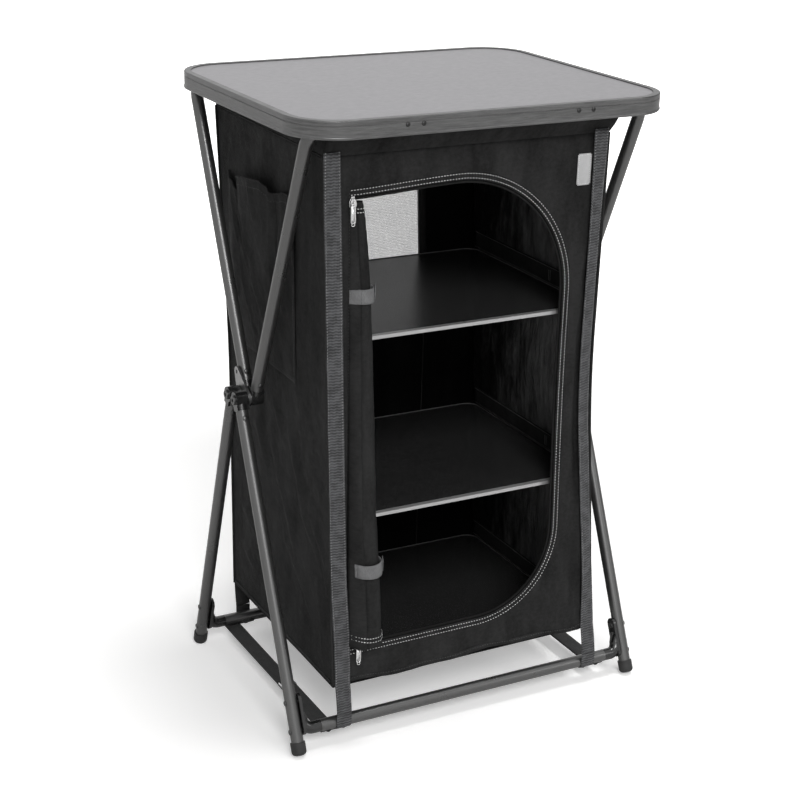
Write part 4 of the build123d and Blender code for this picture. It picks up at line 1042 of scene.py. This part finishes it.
BAR = {"front": (-211.26, -1), "rear": (167.44, 1)}
BAR_Z = 36.0
TUBE_R = 9.5
LOOP_X = {"front": 220.0, "rear": 217.0}
TAPE_FOOT_Z = 52.6
STRAP_X = 242.0
ADJUSTER_Y = -62.0
LOOKS = {
    "front": (GREY_WEBBING, "grey_webbing", THREAD_GREY),
    "rear": (BLACK_WEBBING, "black_webbing", THREAD_BLACK),
}
# Side of the cupboard, inset from its corner, growth of the inset below a height and over a length,
# twist in degrees, and how far the tape stands out above its foot
TAPES = {
    "front_left": (-1, 10.6, 5, 300, 180, -12, 2.7),
    "front_right": (1, 15, -7.5, 500, 400, 20, 3.1),
    "rear_right": (1, 12.5, 0, 500, 400, 0, 0),
    "rear_left": (-1, 12.5, 0, 500, 400, 0, 0),
}


def corner_tapes():
    for name, (side, inset, growth, below, over, twist, lean) in TAPES.items():
        end = name.split("_")[0]
        first, second = (FRONT_LEFT, FRONT_RIGHT) if end == "front" else (REAR_RIGHT, REAR_LEFT)
        bar_y, out = BAR[end]
        paint, slot_name, seam = LOOKS[end]
        line, across, normal = [], [], []
        for z in range(TOP + 6, HEM, -8):
            length = (corner(second, z) - corner(first, z)).length
            s = (inset + growth * ease((below - z) / over)) / length
            lift = 1.15 + ease((z - 70) / 150) * lean + ripple(z, 0, 3.0 + side, 60, 0.35)
            line.append(wall(first, second, s if side == out else 1 - s, z, lift))
        last = line[-1]
        foot = vec(side * LOOP_X[end], bar_y + out * (TUBE_R + 1.0), TAPE_FOOT_Z)
        line += [last.lerp(foot, t) + vec(0, out * 0.8 * bow(t), 0) for t in steps(9)[1:]]
        for k, p in enumerate(line):
            d = (line[min(k + 1, len(line) - 1)] - line[max(k - 1, 0)]).normalized()
            angle = radians(twist) * ease((p.z - 70) / 150) * ease((TOP + 40 - p.z) / 200)
            x = vec(cos(angle), sin(angle), 0)
            x = (x - d * x.dot(d)).normalized()
            n = d.cross(x).normalized()
            across.append(x * -out)
            normal.append(n if n.y * out > 0 else -n)
        piece(f"corner_tape_{name}", Form().strap(line, across, normal, 25), paint, f"{name}_strap", slot=slot_name,
              sheet=(25, 860, "hung", "collar_cloth", f"{end}_crossbar"))
        edge = Form()
        for x in (-10.2, 10.2):
            row = [p + a * x + n * 0.9 for p, a, n in zip(line, across, normal)][:-3]
            edge.stitches(row, normal[0], 2.8, 1.6, 0.7, 0.3)
        piece(f"corner_tape_stitches_{name}", edge, seam)


def corner_binding():
    """Narrow binding that covers the seams between the side walls and the front and rear walls."""
    form = Form()
    for which, sx, sy in zip(CORNERS, (-1, 1, 1, -1), (-1, -1, 1, 1)):
        heights = spread(TOP - 1, HEM + 1, 89) + [HEM + 1]
        form.tube([vec(*corner(which, z), z) + vec(sx * 0.6, sy * 0.2, 0) for z in heights], 1.9)
    piece("corner_binding", form, BINDING)


def bar_loops():
    """Webbing round the crossbars at the ends of the corner tapes, and the rivets under the bars."""
    r = TUBE_R + 1.05
    for end, (bar_y, out) in BAR.items():
        form, rivet = Form(), Form()
        for side in (-1, 1):
            x = side * LOOP_X[end]
            line = [vec(x, bar_y + out * r, 52 - (52 - BAR_Z) * k / 5) for k in range(5)]
            turn = arc(vec(0, 0, 0), vec(0, out, 0), UP, [-165 * k / 18 for k in range(19)])
            line += [vec(x, bar_y, BAR_Z) + d * r for d in turn]
            form.strap(line, RIGHT * -out, [vec(0, out, 0)] * 5 + turn, 25)
            for rivet_x, drop in ((LOOP_X[end] - 5, 0), (STRAP_X, 1.6 if end == "front" else 0)):
                foot = vec(side * rivet_x, bar_y, BAR_Z - r - 0.4 - drop)
                rivet.tube([foot + UP * z for z in (0.6, -0.4, -1.1, -1.5)], [3.4, 3.4, 2.6, 1.2], sides=14)
        body = f"{end}_leg_frame"
        paint, slot_name, _ = LOOKS[end]
        piece(f"bar_loops_{end}", form, paint, f"{end}_strap_loops", body=body, soft=False, slot=slot_name,
              sheet=(50, 46, "folded", f"{end}_crossbar"))
        piece(f"bar_strap_rivets_{end}", rivet, FASTENER, slot="fastener", body=body, soft=False)


def floor_straps():
    """Floor straps under the bars: single behind the adjuster and doubled in front of it."""
    level = BAR_Z - TUBE_R - 0.3
    for end, length, stop, layers in (
        ("front", 328, ADJUSTER_Y + 7.6, ((0.0, 0.18), (-1.55, 0.3))),
        ("rear", 228, ADJUSTER_Y + 8.2, ((-0.75, 0.18),)),
    ):
        bar_y, out = BAR[end]
        start = bar_y + out * 1.5
        form, seam = Form(), Form()
        for side in (-1, 1):
            for drop, sag in layers:
                form.strap([
                    vec(side * STRAP_X, start + (stop - start) * t, level + drop - 0.7 * sag * bow(t))
                    for t in steps(24)
                ], RIGHT, UP, 27, thick=1.4)
            for x in (-8.5, 8.5):
                seam.stitches([vec(side * STRAP_X + x, bar_y - out * y, level + 1.1) for y in range(14, 34, 4)], UP)
        body = f"{end}_leg_frame"
        piece(f"floor_webbing_{end}", form, BLACK_WEBBING, f"{end}_floor_straps", body=body, soft=False,
              slot="black_webbing", sheet=(44, length, "stretched", f"{end}_crossbar"))
        piece(f"floor_webbing_stitches_{end}", seam, THREAD_BLACK, body=body, soft=False)


# Rolled door --------------------

TIES = (706, 292)
TIE_WIDE = 21
ROLL_HIGH, ROLL_LOW = 838, 168
ROLL_LONG = ROLL_HIGH - ROLL_LOW
ROLL_Y = (-201, -228)
ROLL_X = ((0.0, -198), (0.22, -192), (0.6, -191), (1.0, -184))
ROLL_STEPS = 64
ROLL_INSET = 1.7
ROLL_HEMS = (185, 179)


def table_value(table, x):
    """Value at x of a table of positions and values, eased between them."""
    for (a, p), (b, q) in zip(table, table[1:]):
        if a <= x <= b:
            return p + (q - p) * ease((x - a) / (b - a))
    return table[0][1] if x < table[0][0] else table[-1][1]


def roll_section(z):
    """Middle and radius of the door's roll at this height."""
    t = (ROLL_HIGH - z) / ROLL_LONG
    middle = vec(table_value(ROLL_X, t), ROLL_Y[0] + (ROLL_Y[1] - ROLL_Y[0]) * t, z)
    return middle, 10 + 12.5 * max(0, t) ** 0.55


def roll_point(angle, z, inset=0.0):
    middle, radius = roll_section(z)
    t = (ROLL_HIGH - z) / ROLL_LONG
    tied = min(ease(abs(z - level) / 60) for level in TIES)
    flute = (0.3 + 0.3 * t) * sin(angle * 5 + z / 190) + 0.15 * sin(angle * 9 - z / 120 + 1)
    sag = 0.65 * t * sin(z / 37 + angle)
    relief = flute * 0.55 + ripple(angle * 30, z, 9.4, 70, 1.1) + sag
    gather = ease((ROLL_HIGH - z) / 26)
    r = (radius - 1.3 + relief * (0.35 + 0.65 * tied) - inset) * (0.82 + 0.18 * gather)
    flatten = 0.94 + 0.06 * gather
    return middle + vec(r * cos(angle) / flatten, r * sin(angle) * flatten, 0)


def door_roll():
    """The rolled door with its spiral ends, the edge on its outside and the strip to its seam."""
    first = radians(200)

    def outer(s, t):
        angle = first + 2 * pi * s
        z = ROLL_LOW + ROLL_LONG * t
        lap = 1.8 * ease((s - 0.9) / 0.1)
        return roll_point(angle, z, inset=ROLL_INSET - lap), (angle * 16, z)

    form = Form().grid(ROLL_STEPS, 110, outer)
    for z, flip in ((ROLL_HIGH, 1), (ROLL_LOW, -1)):
        middle, _ = roll_section(z)
        start = len(form.points)
        turns = 7
        for k in range(turns):
            for i in range(ROLL_STEPS):
                angle = first + 2 * pi * (flip * i % ROLL_STEPS) / ROLL_STEPS
                edge = roll_point(angle, z, inset=ROLL_INSET)
                p = middle.lerp(edge, 1 - k / turns)
                p.z = z - flip * (1.5 * (k % 2) + (0.6 if k else 0))
                form.point(p, (p.x, p.y))
        form.rings(start, turns, ROLL_STEPS, caps=False)
        form.faces.append(tuple(range(start + (turns - 1) * ROLL_STEPS, start + turns * ROLL_STEPS)))
    piece("door_roll_cloth", form, CLOTH, "door_roll")

    def edge_flap(s, t):
        z = 170 + 666 * t
        lift = (0.3 + 0.3 * sin(z / 50)) * (1 - s)
        return roll_point(radians(60 + 34 * s), z, inset=0.4 - lift), (s * 14, z)

    piece("door_roll_edge", Form().grid(6, 100, edge_flap), CLOTH, thick=0.9,
          sheet=(12, 668, "folded", "door_roll_cloth"))
    white = Form()
    for z in (829, 824, *ROLL_HEMS):
        ring = [roll_point(radians(a), z, inset=-0.7) for a in range(-165, 25, 6)]
        middle, _ = roll_section(z)
        for p, along in resample(ring, 4.4):
            white.stitches([p - along * 0.1, p + along * 0.1], (p - middle).normalized(), 3.2, 1.2, 0.9, 0.5)

    def hinge_flap(s, t):
        """The strip of door cloth from its seam to the roll."""
        z = 165 + 680 * t
        target = roll_point(radians(236), min(z, ROLL_HIGH), inset=0.4)
        p = front_at(DOOR_LEFT - 3, z, 0.8).lerp(target, s)
        belly = 1.6 + 3.0 * (ROLL_HIGH - z) / ROLL_LONG
        p.y -= belly * bow(s) * (1 + 0.2 * sin(z / 60))
        return p, (s * 14, z)

    for z in ROLL_HEMS:
        row = [hinge_flap(s, (z - 165) / 680)[0] + FORWARD * 0.6 for s in steps(5)]
        white.stitches(row, FORWARD, 3.0, 1.4)
    piece("door_roll_stitches", white, THREAD_WHITE)
    piece("door_flap", Form().grid(6, 90, hinge_flap), CLOTH, thick=0.9, sheet=(22, 680, "folded", "front_cloth"))


def roll_ties():
    """Webbing ties round the rolled door, with a folded end on the right."""
    form, tabs, seam = Form(), Form(), Form()
    for level in TIES:
        def place(s, t):
            middle, radius = roll_section(level - TIE_WIDE / 2 + TIE_WIDE * t)
            angle = radians(205) + 2 * pi * s
            r = radius + 1.25 + 0.25 * sin(angle * 3)
            return (middle + vec(r * cos(angle), r * sin(angle), 0),
                    (TIE_WIDE * t, s * 2 * pi * radius))

        form.grid(48, 4, place)
        middle, radius = roll_section(level)
        start = front_at(DOOR_LEFT - 2.8, level, 1.0)
        over = radius * 0.55
        end = middle - vec(over, sqrt((radius + 1.4) ** 2 - over ** 2), 0)
        line = [start.lerp(end, t) + FORWARD * 0.8 * bow(t) for t in steps(5)]
        tabs.strap(line, UP, FORWARD, TIE_WIDE, thick=1.2)
        angle = radians(-18)
        out = vec(cos(angle), sin(angle), 0)
        base = middle + UP * 3 + out * (radius + 2.0)
        line = [base + UP.cross(out) * d + out * h for d, h in ((-5, 0.2), (-1, 0.5), (4, 0.8), (7, 1.5))]
        tabs.strap(line, UP, out, 20, thick=1.1)
        for x in (DOOR_LEFT - 2.0, DOOR_LEFT + 1.5):
            row = [front_at(x, z, 2.6) for z in range(level - 8, level + 9, 4)]
            seam.stitches(row, FORWARD, 2.4, 1.0, 0.7, 0.3)
    piece("roll_ties", form, TIE_WEBBING, "roll_straps", slot="grey_webbing", thick=1.2,
          sheet=(42, 110, "stretched", "door_roll_cloth"))
    piece("roll_tie_tabs", tabs, TIE_WEBBING, slot="grey_webbing", sheet=(42, 34, "folded", "front_cloth"))
    piece("roll_tie_stitches", seam, THREAD_GREY)


# Side pocket and tag --------------------

POCKET_LOW, POCKET_REAR, POCKET_FRONT = 548, 148, -104
POCKET_WIDE = POCKET_REAR - POCKET_FRONT
POCKET_TOP = ((-104, 828), (-78, 827), (-52, 821), (-46, 819), (-38, 818), (-30, 827), (-15, 832), (10, 830),
              (35, 827), (60, 823), (80, 819), (87, 806), (95, 788), (104, 794), (123, 805), (148, 812))
POCKET_OUT = ((-104, 0.5), (-92, 3), (-70, 3), (-50, 2), (-42, 3), (-34, 11), (-15, 17), (10, 19), (35, 20),
              (60, 18), (80, 14), (88, 6), (95, 2), (104, 5), (123, 6), (148, 0.5))
POCKET_FOLDS = (
    (5, 3.2, (128, 785), (104, 728), (62, 636), (47, 568)), (6, 2.6, (118, 812), (70, 720), (24, 652)),
    (3, -5.0, (-40, 818), (-45, 785), (-51, 746), (-56, 690)),
    (2.4, 2.8, (94, 786), (60, 742), (20, 698), (-15, 658)), (7, 3.2, (26, 828), (15, 792), (8, 762)),
    (8, 2.4, (60, 810), (50, 740), (20, 660), (0, 600)), (6, -2.4, (84, 812), (78, 750), (60, 700)),
    (9, 1.6, (-60, 790), (-62, 710), (-70, 640)), (7, 1.6, (138, 780), (150, 699)),
    (8, 2.0, (130, 700), (100, 620), (90, 571)), (10, -1.6, (-40, 760), (-50, 660), (-40, 590)),
)


def pocket():
    """Pocket whose gathered rim stands off the wall, and its rim and seams."""

    def place(s, t):
        y = POCKET_FRONT + POCKET_WIDE * s
        z = POCKET_LOW + (table_value(POCKET_TOP, y) - POCKET_LOW) * t
        gathered = table_value(POCKET_OUT, y) * (0.12 * t + 0.88 * t ** 2.1)
        belly = 6.5 * bow(min(1, t * 1.05)) * bow(s) ** 0.6
        fold = (wrinkle(y, z, POCKET_FOLDS) + ripple(y, z, 2.2, 60, 1.6)) * ease(t * 5)
        ends = inside(y, POCKET_FRONT, POCKET_REAR, 14)
        out = 1.4 + max(0.0, gathered + (belly + fold) * ends)
        return side_at(REAR_LEFT, FRONT_LEFT, y, z, out), (y, z)

    def row(count, out, at):
        return [place(*at(share))[0] - RIGHT * out for share in steps(count)]

    piece("pocket_cloth", Form().grid(110, 70, place), CLOTH, "side_pocket", thick=1.1,
          sheet=(252, 276, "gathered", "left_cloth"))
    rim = [p - UP * 0.6 for p in row(150, -0.3, lambda s: (s, 1.0))]
    piece("pocket_rim", Form().tube(rim, 1.6, sides=7), BINDING)
    dark = Form().stitches(row(150, 0.9, lambda s: (s, 0.955)), -RIGHT, 2.8, 1.6, 0.7, 0.35)
    for edge in (0.012, 0.988):
        dark.stitches(row(60, 1.0, lambda t: (edge, t)), -RIGHT)
    for edge in (0.008, 0.02):
        dark.stitches(row(60, 1.0, lambda s: (s, edge)), -RIGHT)
    piece("pocket_stitches", dark, THREAD_BLACK)


TAG_X, TAG_Z, TAG_WIDE, TAG_HIGH, TAG_R = 167, 852.5, 24, 47, 4


def tag():
    """Bare tag with rounded corners, cut from a grid, and the stitches round it."""

    def place(s, t):
        x, z = TAG_X + TAG_WIDE * (s - 0.5), TAG_Z + TAG_HIGH * (t - 0.5)
        return front_at(x, z, 1.0 + 0.35 * bow(s) + 0.25 * bow(t)), (x, z)

    whole = Form().grid(14, 28, place)
    form = Form()
    kept = {}
    for face in whole.faces:
        middle = sum((whole.points[i] for i in face), Vector()) / 4
        dx = max(0, abs(middle.x - TAG_X) - TAG_WIDE / 2 + TAG_R)
        dz = max(0, abs(middle.z - TAG_Z) - TAG_HIGH / 2 + TAG_R)
        if hypot(dx, dz) <= TAG_R:
            for i in face:
                if i not in kept:
                    kept[i] = form.point(whole.points[i], whole.flat[i])
            form.faces.append(tuple(kept[i] for i in face))
    piece("blank_tag", form, TAG, "tag", slot="tag", thick=0.8, sheet=(24, 47, "stretched", "front_cloth"))
    line = []
    for sx, sz, turn in ((1, 1, 0), (-1, 1, 90), (-1, -1, 180), (1, -1, 270)):
        for k in range(7):
            a = radians(turn + 15 * k)
            line.append(front_at(TAG_X + 7 * sx + 3 * cos(a), TAG_Z + 18.5 * sz + 3 * sin(a), 1.9))
    rim = Form().stitches(line + line[:1], FORWARD, 1.9, 0.9, 0.6, 0.25)
    piece("tag_stitches", rim, THREAD_WHITE, slot="tag")


# Inside: shelf piping, bands and their bar tacks --------------------

PIPING_R = 22
SHELF_FRONT = -183


def shelf_piping():
    """Piping round the side and rear edges of each shelf, and caps on the ends of its channel."""
    for name, top in SHELVES:
        low, high = (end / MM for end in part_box(f"{name}_shelf"))
        z = top + 0.2
        x0, x1 = corner(REAR_LEFT, top).x + 4.0, corner(REAR_RIGHT, top).x - 4.0
        y = high.y - 1.4 - PIPING_R
        quarter = range(0, 91, 15)
        line = [vec(low.x + 1.0, SHELF_FRONT, z)]
        line += arc(vec(x0 + PIPING_R, y, z), RIGHT * -PIPING_R, FORWARD * -PIPING_R, quarter)
        line += arc(vec(x1 - PIPING_R, y, z), FORWARD * -PIPING_R, RIGHT * PIPING_R, quarter)
        line += [vec(high.x - 1.0, SHELF_FRONT, z)]
        board = f"{name}_shelf_board"
        piece(f"{name}_shelf_piping", Form().tube(line, 1.1, sides=7), PIPING, slot="trim", body=board, soft=False)
        caps = Form()
        for x in (low.x + 6, high.x - 7):
            caps.box(vec(x, -190.2, top - 1.8), 7.5, 4.6, 3.1)
        piece(f"{name}_shelf_corner_caps", caps, MOULDING, slot="moulding", body=board, soft=False, smooth=False,
              bevel=(1.2, 3))


def bands():
    """Bands along the side walls that carry the shelves, with seams and bar tacks."""
    form, seam = Form(), Form()
    for first, second in ((FRONT_RIGHT, REAR_RIGHT), (REAR_LEFT, FRONT_LEFT)):
        for _, top in SHELVES:
            def place(s, t):
                z = top + 3 + 30 * t
                wave = 0.5 * sin(s * 26 + top) * bow(t)
                return wall(first, second, 0.03 + 0.94 * s, z, -4.6 + wave), (s * 370, z)

            form.grid(50, 4, place)
            inward = (wall(first, second, 0.5, top) - wall(first, second, 0.5, top, 1)).normalized()
            for t in (0.08, 0.92):
                seam.stitches([place(s, t)[0] + inward * 0.9 for s in steps(60)], inward)
            for tack in (0.06, 0.11, 0.17, 0.32):
                for s in (tack - 0.006, tack + 0.006):
                    row = [place(s, 0.25 + 0.5 * t)[0] + inward * 0.9 for t in steps(6)]
                    seam.stitches(row, inward, 2.4, 0.5, 0.9)
    piece("shelf_band_cloth", form, BINDING, "shelf_bands", thick=0.8,
          sheet=(2220, 30, "stretched", "left_cloth", "right_cloth"))
    piece("shelf_band_stitches", seam, THREAD_GREY)


def edge_joint():
    """Where the two ends of the edge profile meet at the rear."""
    form = Form()
    form.box(vec(3, 249.4, 947), 0.35, 0.5, 11.5)
    form.box(vec(3, 243, 959.9), 0.35, 4.4, 0.2)
    piece("edge_joint_line", form, MOULDING, slot="edge", soft=False, smooth=False)


front_panel()
door_hem()
zip_band()
zip_sliders()
side_wall("left", REAR_LEFT, FRONT_LEFT, LEFT_FOLDS, 150, 4.4, INNER_SHADED)
side_wall("right", REAR_RIGHT, FRONT_RIGHT, RIGHT_FOLDS, 120, 6.1, INNER_RIGHT)
rear_wall()
bottom_cloth()
collar()
hems()
corner_tapes()
corner_binding()
bar_loops()
floor_straps()
door_roll()
roll_ties()
pocket()
tag()
shelf_piping()
bands()
edge_joint()

bpy.context.scene.view_settings.view_transform = "Standard"
